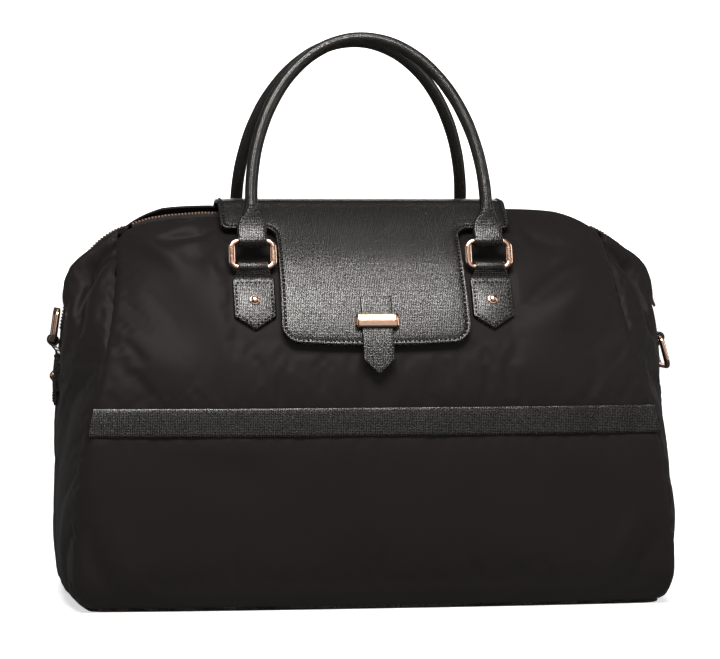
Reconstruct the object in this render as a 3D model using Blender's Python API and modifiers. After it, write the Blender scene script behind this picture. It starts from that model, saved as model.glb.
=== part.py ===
"""Weekender bag: a soft travel bag with a leather flap, two rolled handles, a top zip and six rings.

Metres, +Z up. The origin is the middle of the base, on the surface the bag stands on.
+X is the right of someone who faces the bag's front, and the front faces -Y.
"""
import math

import bmesh
import bpy
from mathutils import Matrix, Vector

# ---------------------------------------------------------------- driving dimensions
GAP = 0.0003                    # clearance between pieces that rest on each other
NYLON = 0.0016                  # thickness of a padded nylon panel
LEATHER = 0.0030                # thickness of the flap and the straps
LINING = 0.0008                 # thickness of the lining cloth
BAND_LEATHER = 0.0016           # thickness of the leather bands and of the snap's socket

# The shell is three families of stations, from the base edge (row 0) to the mouth (last row).
# PANEL_MID: (depth, height) of the front and back panels on the bag's centre line.
PANEL_MID = [(0.1105, 0.0033), (0.1175, 0.0120), (0.1200, 0.0350), (0.1205, 0.0900),
             (0.1190, 0.1360), (0.1165, 0.1585), (0.1060, 0.2000), (0.0880, 0.2400),
             (0.0660, 0.2720), (0.0400, 0.2950), (0.0180, 0.3075), (0.0105, 0.3110)]
# SEAM: (half width, half depth, height) of the seams between the panels and the gussets.
SEAM = [(0.2265, 0.1035, 0.0033), (0.2340, 0.1105, 0.0120), (0.2360, 0.1135, 0.0350),
        (0.2330, 0.1125, 0.0900), (0.2265, 0.1080, 0.1360), (0.2220, 0.1045, 0.1585),
        (0.2130, 0.0915, 0.1970), (0.2050, 0.0700, 0.2340), (0.2015, 0.0480, 0.2620),
        (0.2000, 0.0320, 0.2785), (0.1990, 0.0245, 0.2870), (0.1980, 0.0225, 0.2900)]
# SIDE_MID: (half width, height) of the gussets on their centre line, under the zip's ends.
SIDE_MID = [(0.2350, 0.0033), (0.2420, 0.0120), (0.2445, 0.0350), (0.2460, 0.0900),
            (0.2455, 0.1360), (0.2450, 0.1585), (0.2430, 0.2050), (0.2365, 0.2420),
            (0.2260, 0.2690), (0.2130, 0.2850), (0.2000, 0.2945), (0.1880, 0.2998)]
LAST_ROW = len(SEAM) - 1
BAND_ROW = 5                    # the row where the leather band ends and the mouth's front half starts
SIDE_BULGE = 0.0065             # how far the gusset puffs out beside the zip
ZIP_BED = 0.0105                # half width of the flat strip under the zip's ends

BASE_BOARD = (0.400, 0.190, 0.0025)

ZIP_END = (0.2165, 0.2900)      # heights between which the zip runs down each gusset
MOUTH_HALF = 0.0092             # from the middle of the mouth to the outer edge of a zip tape
TEETH_NEAR, TEETH_FAR = 0.0015, 0.0042
RIDGE = [(0.000, 0.3103), (0.130, 0.3103), (0.155, 0.3083), (0.170, 0.3060), (0.180, 0.3030),
         (0.1850, 0.3010)]

BAR = 0.0023                    # radius of the ring wire
BORE = BAR + 0.00035            # radius of a leather loop's hole
LOOP = 0.0047                   # outer radius of a leather loop
LOOP_HALF = 0.0115              # half width of a leather loop
RING_HALF = 0.01645             # half width of a ring, to the middle of its wire
RING_CORNER = 0.0054
HANDLE_RING = 0.0214            # height of a handle ring between its two bars
SIDE_RING = 0.0244              # height of a side ring between its two bars

HANDLE_X = 0.0945               # the handles' rings stand this far from the middle
CHAPE_LOOP_HEIGHT = 0.2640      # where the loop of a handle chape meets the panel
LOOP_LIFT = 0.0056              # from the surface under a loop to the loop's axis
RING_LEAN = math.radians(18.0)
HANDLE_LEAN = math.radians(16.3)
ROLL = 0.0050                   # radius of a rolled handle
CORE = 0.0032                   # radius of the rope inside it
HANDLE_STRAIGHT = 0.0310        # from the ring to the start of the handle's arch
HANDLE_ARCH = 0.1395            # height of the arch
TAB_END = 0.0287                # where the tab ends and the roll starts

SIDE_LOOP_HEIGHT = 0.2075
SIDE_LOOP_LIFT = 0.0058
LEFT_RING_LEAN = math.radians(8.0)      # flipped up, leaning on the gusset
RIGHT_RING_TILT = math.radians(15.0)    # hanging, held off by the chape under it

FLAP_HALF = 0.1170              # half width of the flap's yoke
DROP_HALF = 0.0740              # half width of the flap's drop
LOBE_BOTTOM = 0.2965
DROP_BOTTOM = 0.2060
STRAP_HALF = 0.0122

SLIDER_HEIGHT = 0.2440
RUN_SLOPE = 0.3600              # how far the zip's side run leans in for each metre it climbs


# ---------------------------------------------------------------- scene and materials
def clear_scene():
    for item in list(bpy.data.objects):
        bpy.data.objects.remove(item, do_unlink=True)


def make_collection(name):
    collection = bpy.data.collections.new(name)
    bpy.context.scene.collection.children.link(collection)
    return collection


def make_material(name, colour, roughness, metallic=0.0):
    material = bpy.data.materials.new(name)
    material.use_nodes = True
    shader = material.node_tree.nodes["Principled BSDF"]
    shader.inputs["Base Color"].default_value = (*colour, 1.0)
    shader.inputs["Roughness"].default_value = roughness
    shader.inputs["Metallic"].default_value = metallic
    return material


clear_scene()
BAG = make_collection("weekender_bag")
CUTTERS = make_collection("cutters")
NYLON_BLACK = make_material("nylon_black", (0.022, 0.020, 0.019), 0.45)
LEATHER_BLACK = make_material("leather_black", (0.030, 0.029, 0.027), 0.50)
ROSE_GOLD = make_material("rose_gold", (0.830, 0.520, 0.400), 0.20, 1.0)
TAPE_BLACK = make_material("tape_black", (0.018, 0.017, 0.017), 0.75)
LINING_GREY = make_material("lining_grey", (0.060, 0.056, 0.054), 0.80)
BOARD_GREY = make_material("board_grey", (0.120, 0.115, 0.110), 0.85)
ROPE_WHITE = make_material("rope_white", (0.600, 0.570, 0.520), 0.90)


# ---------------------------------------------------------------- mesh helpers
def add_object(name, mesh, material, collection=BAG):
    mesh.name = name
    item = bpy.data.objects.new(name, mesh)
    collection.objects.link(item)
    mesh.materials.clear()
    mesh.materials.append(material)
    return item


def finish_mesh(name, bm, material):
    bmesh.ops.recalc_face_normals(bm, faces=bm.faces)
    mesh = bpy.data.meshes.new(name)
    bm.to_mesh(mesh)
    bm.free()
    mesh.shade_smooth()
    mesh.set_sharp_from_angle(angle=math.radians(40.0))
    return add_object(name, mesh, material)


def add_slab(name, low, high, material):
    """A closed slab between two grids of points of the same size."""
    bm = bmesh.new()
    rows, columns = len(low), len(low[0])
    under = [[bm.verts.new(point) for point in row] for row in low]
    over = [[bm.verts.new(point) for point in row] for row in high]
    for r in range(rows - 1):
        for c in range(columns - 1):
            bm.faces.new((under[r][c], under[r + 1][c], under[r + 1][c + 1], under[r][c + 1]))
            bm.faces.new((over[r][c], over[r][c + 1], over[r + 1][c + 1], over[r + 1][c]))
    for r in range(rows - 1):
        for c in (0, columns - 1):
            bm.faces.new((under[r][c], under[r + 1][c], over[r + 1][c], over[r][c]))
    for c in range(columns - 1):
        for r in (0, rows - 1):
            bm.faces.new((under[r][c], under[r][c + 1], over[r][c + 1], over[r][c]))
    return finish_mesh(name, bm, material)


def add_loft(name, sections, material):
    """A closed solid through rings of points of the same length, capped at both ends."""
    bm = bmesh.new()
    rings = [[bm.verts.new(point) for point in section] for section in sections]
    count = len(rings[0])
    for lower, upper in zip(rings, rings[1:]):
        for i in range(count):
            j = (i + 1) % count
            bm.faces.new((lower[i], lower[j], upper[j], upper[i]))
    bm.faces.new(rings[0])
    bm.faces.new(rings[-1])
    return finish_mesh(name, bm, material)


def add_box(name, size, place, material):
    bm = bmesh.new()
    bmesh.ops.create_cube(bm, size=1.0, matrix=place @ Matrix.Diagonal((*size, 1.0)))
    return finish_mesh(name, bm, material)


def add_rod(name, radius, length, place, material, segments=16):
    """A cylinder along the place's own Z axis."""
    bm = bmesh.new()
    bmesh.ops.create_cone(bm, cap_ends=True, segments=segments, radius1=radius, radius2=radius,
                          depth=length, matrix=place)
    return finish_mesh(name, bm, material)


def add_turned(name, profile, place, material):
    """A solid turned about the place's Z axis from (radius, height) points, top to bottom."""
    mesh = bpy.data.meshes.new(name)
    points = [(radius, 0.0, height) for radius, height in profile]
    mesh.from_pydata(points, [(i, i + 1) for i in range(len(points) - 1)], [])
    item = add_object(name, mesh, material)
    item.matrix_world = place
    screw = item.modifiers.new("screw", 'SCREW')
    screw.steps = 16
    screw.render_steps = 16
    screw.use_merge_vertices = True
    screw.merge_threshold = 0.00002
    return item


def combine(item, other, operation):
    """Apply a Boolean with another object, which is removed afterwards."""
    step = item.modifiers.new(operation.lower(), 'BOOLEAN')
    step.operation = operation
    step.object = other
    bpy.context.view_layer.update()
    graph = bpy.context.evaluated_depsgraph_get()
    mesh = bpy.data.meshes.new_from_object(item.evaluated_get(graph))
    item.modifiers.clear()
    material = item.data.materials[0]
    item.data = mesh
    mesh.name = item.name
    mesh.materials.clear()
    mesh.materials.append(material)
    bpy.data.objects.remove(other, do_unlink=True)
    return item


def as_cutter(item):
    BAG.objects.unlink(item)
    CUTTERS.objects.link(item)
    item.hide_render = True
    item.display_type = 'WIRE'
    return item


# ---------------------------------------------------------------- the shell's surfaces
def spaced(start, end, count):
    return [start + (end - start) * i / (count - 1) for i in range(count)]


def smooth(points, row):
    """A Catmull-Rom curve through the points, which stand at whole rows."""
    last = len(points) - 1
    row = min(max(row, 0.0), float(last))
    index = min(int(row), last - 1)
    f = row - index
    near = [points[min(max(index + k, 0), last)] for k in (-1, 0, 1, 2)]
    weights = (-0.5 * f + f * f - 0.5 * f ** 3, 1.0 - 2.5 * f * f + 1.5 * f ** 3,
               0.5 * f + 2.0 * f * f - 1.5 * f ** 3, -0.5 * f * f + 0.5 * f ** 3)
    return [sum(w * point[k] for w, point in zip(weights, near)) for k in range(len(near[0]))]


def solve(function, target, low, high):
    """The argument between low and high where a rising function meets its target."""
    for _ in range(40):
        middle = 0.5 * (low + high)
        if function(middle) < target:
            low = middle
        else:
            high = middle
    return 0.5 * (low + high)


def panel(x, row, face):
    """A point of the front (face -1) or back (face +1) panel."""
    half_width, half_depth, seam_height = smooth(SEAM, row)
    depth, height = smooth(PANEL_MID, row)
    across = min(abs(x) / half_width, 1.0)
    rise = (row / LAST_ROW) ** 4
    depth += (half_depth - depth) * across ** (2.6 + 7.4 * rise)
    height += (seam_height - height) * across ** (6.0 + 4.0 * rise)
    return Vector((x, face * depth, height))


def gusset(y, row, side):
    """A point of the left (side -1) or right (side +1) gusset."""
    half_width, half_depth, seam_height = smooth(SEAM, row)
    middle_width, middle_height = smooth(SIDE_MID, row)
    across = min(abs(y) / half_depth, 1.0)
    middle = 1.0 - across ** 2
    beside_zip = max(0.0, abs(y) - ZIP_BED) / (half_depth - ZIP_BED)
    puff = SIDE_BULGE * max(0.0, 1.0 - ((row - 8.0) / 2.6) ** 2)
    puff *= math.sin(math.pi * min(beside_zip, 1.0)) ** 2
    width = half_width + (middle_width - half_width) * middle + puff
    height = seam_height + (middle_height - seam_height) * middle
    return Vector((side * width, y, height))


def ridge(x, y):
    """A point of the zip over the mouth."""
    reach = min(abs(x), RIDGE[-1][0])
    index = max(i for i, (start, _) in enumerate(RIDGE[:-1]) if start <= reach)
    (x0, z0), (x1, z1) = RIDGE[index], RIDGE[index + 1]
    return Vector((x, y, z0 + (z1 - z0) * (reach - x0) / (x1 - x0)))


def normal_of(surface, a, b):
    step = 0.0005
    row_step = 0.01
    along_a = surface(a + step, b) - surface(a - step, b)
    along_b = surface(a, b + row_step) - surface(a, b - row_step)
    normal = along_a.cross(along_b).normalized()
    outward = surface(a, b) - Vector((0.0, 0.0, 0.12))
    return normal if normal.dot(outward) > 0.0 else -normal


def lift(surface, a, b, height):
    return surface(a, b) + normal_of(surface, a, b) * height


def lifted_grid(surface, rows, columns_of, height_of):
    """Points over a surface: columns_of(row) lists the places across, height_of(a, row) the lift."""
    return [[lift(surface, a, row, height_of(a, row)) for a in columns_of(row)] for row in rows]


def front(x, row):
    return panel(x, row, -1.0)


def back(x, row):
    return panel(x, row, 1.0)


def left_side(y, row):
    return gusset(y, row, -1.0)


def right_side(y, row):
    return gusset(y, row, 1.0)


def panel_row(height):
    return solve(lambda row: smooth(PANEL_MID, row)[1], height, 0.0, LAST_ROW)


def side_row(height):
    return solve(lambda row: smooth(SIDE_MID, row)[1], height, 0.0, LAST_ROW)


def frame_on(surface, a, row, height, across):
    """A frame standing on a surface: Z out of it, X along the direction given."""
    out = normal_of(surface, a, row)
    side = (across - out * across.dot(out)).normalized()
    place = Matrix((side, out.cross(side), out)).transposed().to_4x4()
    place.translation = surface(a, row) + out * height
    return place


# ---------------------------------------------------------------- panels, gussets, base, lining
SEAM_CLEARANCE = 0.0030         # the panels stop this far inside the seam, clear of the gusset


def add_panel(name, surface, rows, low, high, material, edge=SEAM_CLEARANCE, columns=15):
    def places(row):
        half = smooth(SEAM, row)[0] - edge
        return [half * share for share in spaced(-1.0, 1.0, columns)]
    add_slab(name,
             lifted_grid(surface, rows, places, lambda a, row: low),
             lifted_grid(surface, rows, places, lambda a, row: high), material)


def add_gusset(name, surface):
    rows = [0.0, 1.0, 2.0, 3.5, 5.0, 6.0, 7.0, 8.0, 9.0, 10.0, 10.9]

    def places(row):
        half_depth = smooth(SEAM, row)[1]
        beside = [ZIP_BED + (half_depth - ZIP_BED) * share for share in (0.0, 0.35, 0.7, 1.0)]
        return [-y for y in reversed(beside)] + [0.0] + beside
    add_slab(name,
             lifted_grid(surface, rows, places, lambda a, row: -NYLON),
             lifted_grid(surface, rows, places, lambda a, row: 0.0), NYLON_BLACK)


def base_outline(scale, height):
    half_width, half_depth, _ = SEAM[0]
    corner = 0.97
    points = [front(half_width * share, 0.0) for share in spaced(-corner, corner, 7)]
    points += [right_side(half_depth * share, 0.0) for share in spaced(-corner, corner, 5)]
    points += [back(half_width * share, 0.0) for share in spaced(corner, -corner, 7)]
    points += [left_side(half_depth * share, 0.0) for share in spaced(corner, -corner, 5)]
    return [Vector((point.x * scale, point.y * scale, height)) for point in points]


def add_base():
    top = SEAM[0][2] - GAP
    add_loft("base_panel", [base_outline(0.970, 0.0), base_outline(0.992, top * 0.4),
                            base_outline(0.996, top)], LEATHER_BLACK)
    middle = top + GAP + 0.5 * BASE_BOARD[2]
    add_box("base_board", BASE_BOARD, Matrix.Translation((0.0, 0.0, middle)), BOARD_GREY)


def lining_section(angle, height, inset):
    """A point of the lining: a rounded rectangle inside the shell at this height."""
    row = panel_row(height)
    half_width, half_depth, _ = smooth(SEAM, row)
    corner = 0.25
    across, along = math.cos(angle), math.sin(angle)
    x = math.copysign(abs(across) ** corner, across) * (half_width - 0.0075 - inset)
    y = math.copysign(abs(along) ** corner, along) * (half_depth - 0.0060 - inset)
    return Vector((x, y, height))


def add_lining():
    """An open box of cloth: low at the front, under the half of the mouth that opens."""
    floor = SEAM[0][2] + BASE_BOARD[2] + 3.0 * GAP + 0.0002
    count = 32
    levels = (0.0, 0.12, 0.5, 1.0)
    angles = [2.0 * math.pi * i / count for i in range(count)]
    rims = [0.153 + 0.115 * min(1.0, max(0.0, math.sin(angle) + 0.55)) for angle in angles]

    def wall(inset, bottom):
        return [[lining_section(angle, bottom + (rim - bottom) * level, inset)
                 for angle, rim in zip(angles, rims)] for level in levels]

    bm = bmesh.new()
    outer = [[bm.verts.new(point) for point in ring] for ring in wall(0.0, floor)]
    inner = [[bm.verts.new(point) for point in ring] for ring in wall(LINING, floor + LINING)]
    for rings in (outer, inner):
        for lower, upper in zip(rings, rings[1:]):
            for i in range(count):
                j = (i + 1) % count
                bm.faces.new((lower[i], lower[j], upper[j], upper[i]))
        bm.faces.new(rings[0])
    for i in range(count):
        j = (i + 1) % count
        bm.faces.new((outer[-1][i], outer[-1][j], inner[-1][j], inner[-1][i]))
    finish_mesh("lining", bm, LINING_GREY)


def add_shell():
    lower_rows = [0.0, 1.0, 2.0, 3.0, 4.0, BAND_ROW - 0.015]
    upper_rows = [BAND_ROW + 0.015, 5.7, 6.4, 7.2, 8.0, 8.7, 9.4, 10.2, float(LAST_ROW)]
    band_rows = [panel_row(0.1368), 4.5, panel_row(0.1580)]
    for name, surface in (("front", front), ("back", back)):
        add_panel(f"{name}_lower_panel", surface, lower_rows, -NYLON, 0.0, NYLON_BLACK)
        add_panel(f"{name}_upper_panel", surface, upper_rows, -NYLON, 0.0, NYLON_BLACK)
        add_panel(f"{name}_band", surface, band_rows, GAP, GAP + BAND_LEATHER,
                  LEATHER_BLACK, edge=0.0010)
    lining_top = -NYLON - 4.0 * GAP
    add_panel("mouth_front_lining", front, upper_rows[1:-2], lining_top - LINING, lining_top,
              LINING_GREY, edge=0.0280)
    add_gusset("gusset_left", left_side)
    add_gusset("gusset_right", right_side)
    add_base()
    add_lining()


# ---------------------------------------------------------------- zip
def add_zip():
    stations = [-0.1850, -0.180, -0.170, -0.155, -0.130, 0.0, 0.130, 0.155, 0.170, 0.180, 0.1850]
    for name, face in (("front", -1.0), ("back", 1.0)):
        for piece, near, far, half, material in (
                ("zip_tape", TEETH_FAR + GAP, MOUTH_HALF, 0.0004, TAPE_BLACK),
                ("zip_teeth", TEETH_NEAR, TEETH_FAR, 0.0012, ROSE_GOLD)):
            low = [[ridge(x, face * y) - Vector((0.0, 0.0, half)) for y in (near, far)]
                   for x in stations]
            high = [[ridge(x, face * y) + Vector((0.0, 0.0, half)) for y in (near, far)]
                    for x in stations]
            add_slab(f"{piece}_{name}", low, high, material)
    rows = [side_row(height) for height in spaced(*ZIP_END, 8)]
    across = [-MOUTH_HALF, -0.0031, -0.0029, 0.0029, 0.0031, MOUTH_HALF]
    for name, surface in (("left", left_side), ("right", right_side)):
        add_slab(f"zip_end_{name}",
                 lifted_grid(surface, rows, lambda row: across, lambda a, row: 2.0 * GAP),
                 lifted_grid(surface, rows, lambda row: across,
                             lambda a, row: 0.0025 if abs(a) < 0.0030 else 0.0014), TAPE_BLACK)


def run_frame(height_on_zip):
    """A frame on the right gusset's zip: Z out of the gusset, X up the zip, Y along -Y."""
    foot_x = smooth(SIDE_MID, side_row(height_on_zip))[0]
    up = Vector((-RUN_SLOPE, 0.0, 1.0)).normalized()
    out = Vector((1.0, 0.0, RUN_SLOPE)).normalized()
    place = Matrix((up, out.cross(up), out)).transposed().to_4x4()
    place.translation = Vector((foot_x, 0.0, height_on_zip))
    return place


PLATE_LOW, PLATE_HIGH = 0.0031, 0.0046      # the slider's plate, above the gusset
BAIL_LIFT = 0.0068                          # the pull's axis, above the gusset


def add_slider():
    place = run_frame(SLIDER_HEIGHT)
    plate_middle = 0.5 * (PLATE_LOW + PLATE_HIGH)
    slider = add_box("zip_slider", (0.0110, 0.0090, PLATE_HIGH - PLATE_LOW),
                     place @ Matrix.Translation((0.0, 0.0, plate_middle)), ROSE_GOLD)
    lug_top = BAIL_LIFT + 0.0022
    lug = add_box("slider_lug", (0.0044, 0.0024, lug_top - 0.0040),
                  place @ Matrix.Translation((0.0, 0.0, 0.5 * (lug_top + 0.0040))), ROSE_GOLD)
    combine(slider, lug, 'UNION')
    across = Matrix.Rotation(math.radians(90.0), 4, 'X')
    at_bail = place @ Matrix.Translation((0.0, 0.0, BAIL_LIFT))
    hole = add_rod("slider_hole", 0.0012, 0.0060, at_bail @ across, ROSE_GOLD)
    combine(slider, as_cutter(hole), 'DIFFERENCE')
    # The pull points down the zip from its pin. Its window lets the lug through.
    pull = add_box("zip_pull", (0.0152, 0.0080, 0.0012),
                   at_bail @ Matrix.Translation((-0.0064, 0.0, 0.0)), ROSE_GOLD)
    window = add_box("pull_window", (0.0060, 0.0034, 0.0040),
                     at_bail @ Matrix.Translation((-0.0005, 0.0, 0.0)), ROSE_GOLD)
    combine(pull, as_cutter(window), 'DIFFERENCE')
    pin = add_rod("pull_pin", 0.0008, 0.0066, at_bail @ across, ROSE_GOLD, segments=10)
    combine(pull, pin, 'UNION')


# ---------------------------------------------------------------- rings, chapes and rivets
def ring_points(height):
    """The ring's wire, seen flat: its lower bar runs through the origin, along X."""
    points = []
    r = RING_CORNER
    corners = [(RING_HALF - r, r, -90.0), (RING_HALF - r, height - r, 0.0),
               (-RING_HALF + r, height - r, 90.0), (-RING_HALF + r, r, 180.0)]
    for x, z, start in corners:
        for step in range(4):
            angle = math.radians(start + 30.0 * step)
            points.append((x + r * math.cos(angle), 0.0, z + r * math.sin(angle)))
    return points


def add_ring(name, height, place):
    curve = bpy.data.curves.new(name, 'CURVE')
    curve.dimensions = '3D'
    curve.bevel_depth = BAR
    curve.bevel_resolution = 2
    curve.render_resolution_u = 0
    points = ring_points(height)
    spline = curve.splines.new('POLY')
    spline.points.add(len(points) - 1)
    for target, point in zip(spline.points, points):
        target.co = (*point, 1.0)
    spline.use_cyclic_u = True
    curve.materials.append(ROSE_GOLD)
    item = bpy.data.objects.new(name, curve)
    BAG.objects.link(item)
    item.matrix_world = place


# The chape's outline, from its pointed tip: (distance up the chape, half width).
CHAPE = [(0.0000, 0.0020), (0.0040, 0.0078), (0.0095, 0.0150), (0.0130, 0.0165), (0.0240, 0.0165),
         (0.0360, 0.0165), (0.0420, 0.0158), (0.0462, 0.0120), (0.0530, 0.0115)]
CHAPE_PAD = 0.0016              # how much thicker the padded middle is
RIVET_UP = 0.0245               # the rivet's place above the tip


def add_chape(name, surface, centre, row_of, loop_axis, loop_frame):
    """A leather tab on a surface, with a loop at its top around a ring's bar.

    row_of(distance) turns the distance up the chape into the surface's row.
    """
    shares = (-1.0, -0.72, 0.0, 0.72, 1.0)
    half_of = dict((row_of(distance), half) for distance, half in CHAPE)
    rows = list(half_of)
    first, last = rows[0], rows[-1]

    def places(row):
        return [centre + half_of[row] * share for share in shares]

    def top(a, row):
        across = 1.0 - min(1.0, abs(a - centre) / 0.0165) ** 2
        along = math.sin(math.pi * min(1.0, (row - first) / (last - first)))
        return GAP + 0.0026 + CHAPE_PAD * across * along
    chape = add_slab(name, lifted_grid(surface, rows, places, lambda a, row: GAP),
                     lifted_grid(surface, rows, places, top), LEATHER_BLACK)
    turn = loop_frame @ loop_axis
    loop = add_rod("loop", LOOP, 2.0 * LOOP_HALF, turn, LEATHER_BLACK)
    combine(chape, loop, 'UNION')
    bore = add_rod("bore", BORE, 4.0 * LOOP_HALF, turn, LEATHER_BLACK)
    combine(chape, as_cutter(bore), 'DIFFERENCE')


def rivet_profile(radius, height):
    """A dome from its crown down to its flat seat."""
    dome = [(radius * math.sin(angle), height * math.cos(angle))
            for angle in (math.radians(a) for a in (0.0, 25.0, 50.0, 75.0))]
    return dome + [(radius, 0.0), (0.0, 0.0)]


def add_rivet(name, surface, centre, row, across):
    seat = GAP + 0.0026 + CHAPE_PAD + GAP
    place = frame_on(surface, centre, row, seat, across)
    add_turned(name, rivet_profile(0.0043, 0.0024), place, ROSE_GOLD)


ALONG_X = Matrix.Rotation(math.radians(90.0), 4, 'Y')
ALONG_Y = Matrix.Rotation(math.radians(90.0), 4, 'X')


def handle_pivot(face):
    """Where a handle ring's lower bar lies, for a ring in the middle of the bag."""
    surface = front if face < 0.0 else back
    return lift(surface, HANDLE_X, panel_row(CHAPE_LOOP_HEIGHT), LOOP_LIFT)


def distance_rows(surface, centre, top_row):
    """Rows up a surface by true distance, ending at top_row at the chape's full length."""
    length = CHAPE[-1][0]
    steps = 60
    rows = spaced(top_row - 2.5, top_row, steps)
    lengths = [0.0]
    for below, above in zip(rows, rows[1:]):
        lengths.append(lengths[-1] + (surface(centre, above) - surface(centre, below)).length)

    def row_of(distance):
        target = lengths[-1] - length + distance
        for i in range(steps - 1):
            if lengths[i + 1] >= target:
                share = (target - lengths[i]) / (lengths[i + 1] - lengths[i])
                return rows[i] + (rows[i + 1] - rows[i]) * share
        return top_row
    return row_of


def add_handle_hardware():
    across = Vector((1.0, 0.0, 0.0))
    top_row = panel_row(CHAPE_LOOP_HEIGHT)
    for name, surface, face in (("front", front, -1.0), ("back", back, 1.0)):
        pivot = handle_pivot(face)
        for side_name, side in (("left", -1.0), ("right", 1.0)):
            x = side * HANDLE_X
            at_pivot = Matrix.Translation((x, pivot.y, pivot.z))
            row_of = distance_rows(surface, x, top_row)
            add_chape(f"{name}_chape_{side_name}", surface, x, row_of, ALONG_X, at_pivot)
            add_rivet(f"{name}_rivet_{side_name}", surface, x, row_of(RIVET_UP), across)
            lean = Matrix.Rotation(face * RING_LEAN, 4, 'X')
            add_ring(f"{name}_ring_{side_name}", HANDLE_RING, at_pivot @ lean)


def add_side_hardware():
    across = Vector((0.0, 1.0, 0.0))
    top_row = side_row(SIDE_LOOP_HEIGHT)
    flat = Matrix.Rotation(math.radians(90.0), 4, 'Z')
    for name, surface, side in (("left", left_side, -1.0), ("right", right_side, 1.0)):
        pivot = lift(surface, 0.0, top_row, SIDE_LOOP_LIFT)
        at_pivot = Matrix.Translation(pivot)
        row_of = distance_rows(surface, 0.0, top_row)
        add_chape(f"side_chape_{name}", surface, 0.0, row_of, ALONG_Y, at_pivot)
        add_rivet(f"side_rivet_{name}", surface, 0.0, row_of(RIVET_UP), across)
        swing = LEFT_RING_LEAN if side < 0.0 else math.pi - RIGHT_RING_TILT
        add_ring(f"side_ring_{name}", SIDE_RING, at_pivot @ Matrix.Rotation(swing, 4, 'Y') @ flat)


# ---------------------------------------------------------------- handles
TAB = [(0.0020, 0.0115, 0.0026), (0.0090, 0.0120, 0.0024), (0.0160, 0.0102, 0.0030),
       (0.0230, 0.0070, 0.0042), (TAB_END, 0.0052, 0.0049)]     # height, half width, half thickness


def oval(x, z, half_width, half_thickness, count=12):
    points = []
    for i in range(count):
        angle = 2.0 * math.pi * (i + 0.5) / count
        across, along = math.cos(angle), math.sin(angle)
        points.append(Vector((x + half_width * math.copysign(abs(across) ** 0.6, across),
                              half_thickness * math.copysign(abs(along) ** 0.6, along), z)))
    return points


def arch_points(count=25):
    """The roll's middle line in the handle's own plane: half an ellipse over straight legs."""
    arch = [Vector((HANDLE_X * math.cos(angle), 0.0,
                    HANDLE_STRAIGHT + HANDLE_ARCH * math.sin(angle)))
            for angle in spaced(math.pi, 0.0, count)]
    left_foot = Vector((-HANDLE_X, 0.0, TAB_END + GAP))
    right_foot = Vector((HANDLE_X, 0.0, TAB_END + GAP))
    return [left_foot] + arch + [right_foot]


def add_tube(name, path, outer, inner, sides, material, place):
    """A round tube along a path in the XZ plane; inner 0 makes it solid."""
    bm = bmesh.new()
    shells = []
    for radius in (outer, inner):
        if radius == 0.0:
            continue
        rings = []
        for i, point in enumerate(path):
            before, after = path[max(i - 1, 0)], path[min(i + 1, len(path) - 1)]
            along = (after - before).normalized()
            out = Vector((along.z, 0.0, -along.x))
            ring = []
            for k in range(sides):
                angle = 2.0 * math.pi * k / sides
                spot = point + out * (radius * math.cos(angle))
                spot.y += radius * math.sin(angle)
                ring.append(bm.verts.new(place @ spot))
            rings.append(ring)
        for lower, upper in zip(rings, rings[1:]):
            for k in range(sides):
                j = (k + 1) % sides
                bm.faces.new((lower[k], lower[j], upper[j], upper[k]))
        shells.append(rings)
    for end in (0, -1):
        if inner == 0.0:
            bm.faces.new(shells[0][end])
            continue
        for k in range(sides):
            j = (k + 1) % sides
            bm.faces.new((shells[0][end][k], shells[0][end][j],
                          shells[1][end][j], shells[1][end][k]))
    finish_mesh(name, bm, material)


def add_handles():
    for name, face in (("front", -1.0), ("back", 1.0)):
        pivot = handle_pivot(face)
        top_bar = Vector((0.0, pivot.y - face * HANDLE_RING * math.sin(RING_LEAN),
                          pivot.z + HANDLE_RING * math.cos(RING_LEAN)))
        place = Matrix.Translation(top_bar) @ Matrix.Rotation(face * HANDLE_LEAN, 4, 'X')
        path = arch_points()
        add_tube(f"{name}_handle_roll", path, ROLL, CORE + GAP, 10, LEATHER_BLACK, place)
        add_tube(f"{name}_handle_core", path, CORE, 0.0, 8, ROPE_WHITE, place)
        for side_name, side in (("left", -1.0), ("right", 1.0)):
            sections = [[place @ point for point in oval(side * HANDLE_X, z, width, thick)]
                        for z, width, thick in TAB]
            tab = add_loft(f"{name}_handle_tab_{side_name}", sections, LEATHER_BLACK)
            turn = place @ Matrix.Translation((side * HANDLE_X, 0.0, 0.0)) @ ALONG_X
            combine(tab, add_rod("loop", LOOP, 2.0 * LOOP_HALF, turn, LEATHER_BLACK), 'UNION')
            bore = add_rod("bore", BORE, 4.0 * LOOP_HALF, turn, LEATHER_BLACK)
            combine(tab, as_cutter(bore), 'DIFFERENCE')


# ---------------------------------------------------------------- flap
# The flap's underside on the bag's centre line: (face, row, lift above the panel).
FLAP_LIFTS = [(1.0, 9.10, 0.0012), (1.0, 9.45, 0.0042), (1.0, 9.90, 0.0066), (1.0, 10.60, 0.0075),
              (-1.0, 10.60, 0.0075), (-1.0, 9.90, 0.0066), (-1.0, 9.40, 0.0052), (-1.0, 8.80, 0.0036),
              (-1.0, 8.00, 0.0030), (-1.0, 7.40, 0.0034), (-1.0, 6.90, 0.0042), (-1.0, 6.40, 0.0042),
              (-1.0, 6.00, 0.0042), (-1.0, 5.50, 0.0042)]
FLAP_CROWN = (0.0, 0.3190)      # depth and height of the underside over the middle of the mouth


def flap_profile():
    points = []
    for face, row, height in FLAP_LIFTS:
        spot = lift(front if face < 0.0 else back, 0.0, row, height)
        points.append((spot.y, spot.z))
    points.insert(4, FLAP_CROWN)
    return points


FLAP_PROFILE = flap_profile()
CROWN_STEP = 4                  # FLAP_PROFILE's step over the middle of the mouth


def flap(x, step):
    """A point of the flap's underside; step runs from the hinge seam down the front."""
    y, z = smooth(FLAP_PROFILE, step)
    return Vector((x, y, z))


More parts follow.
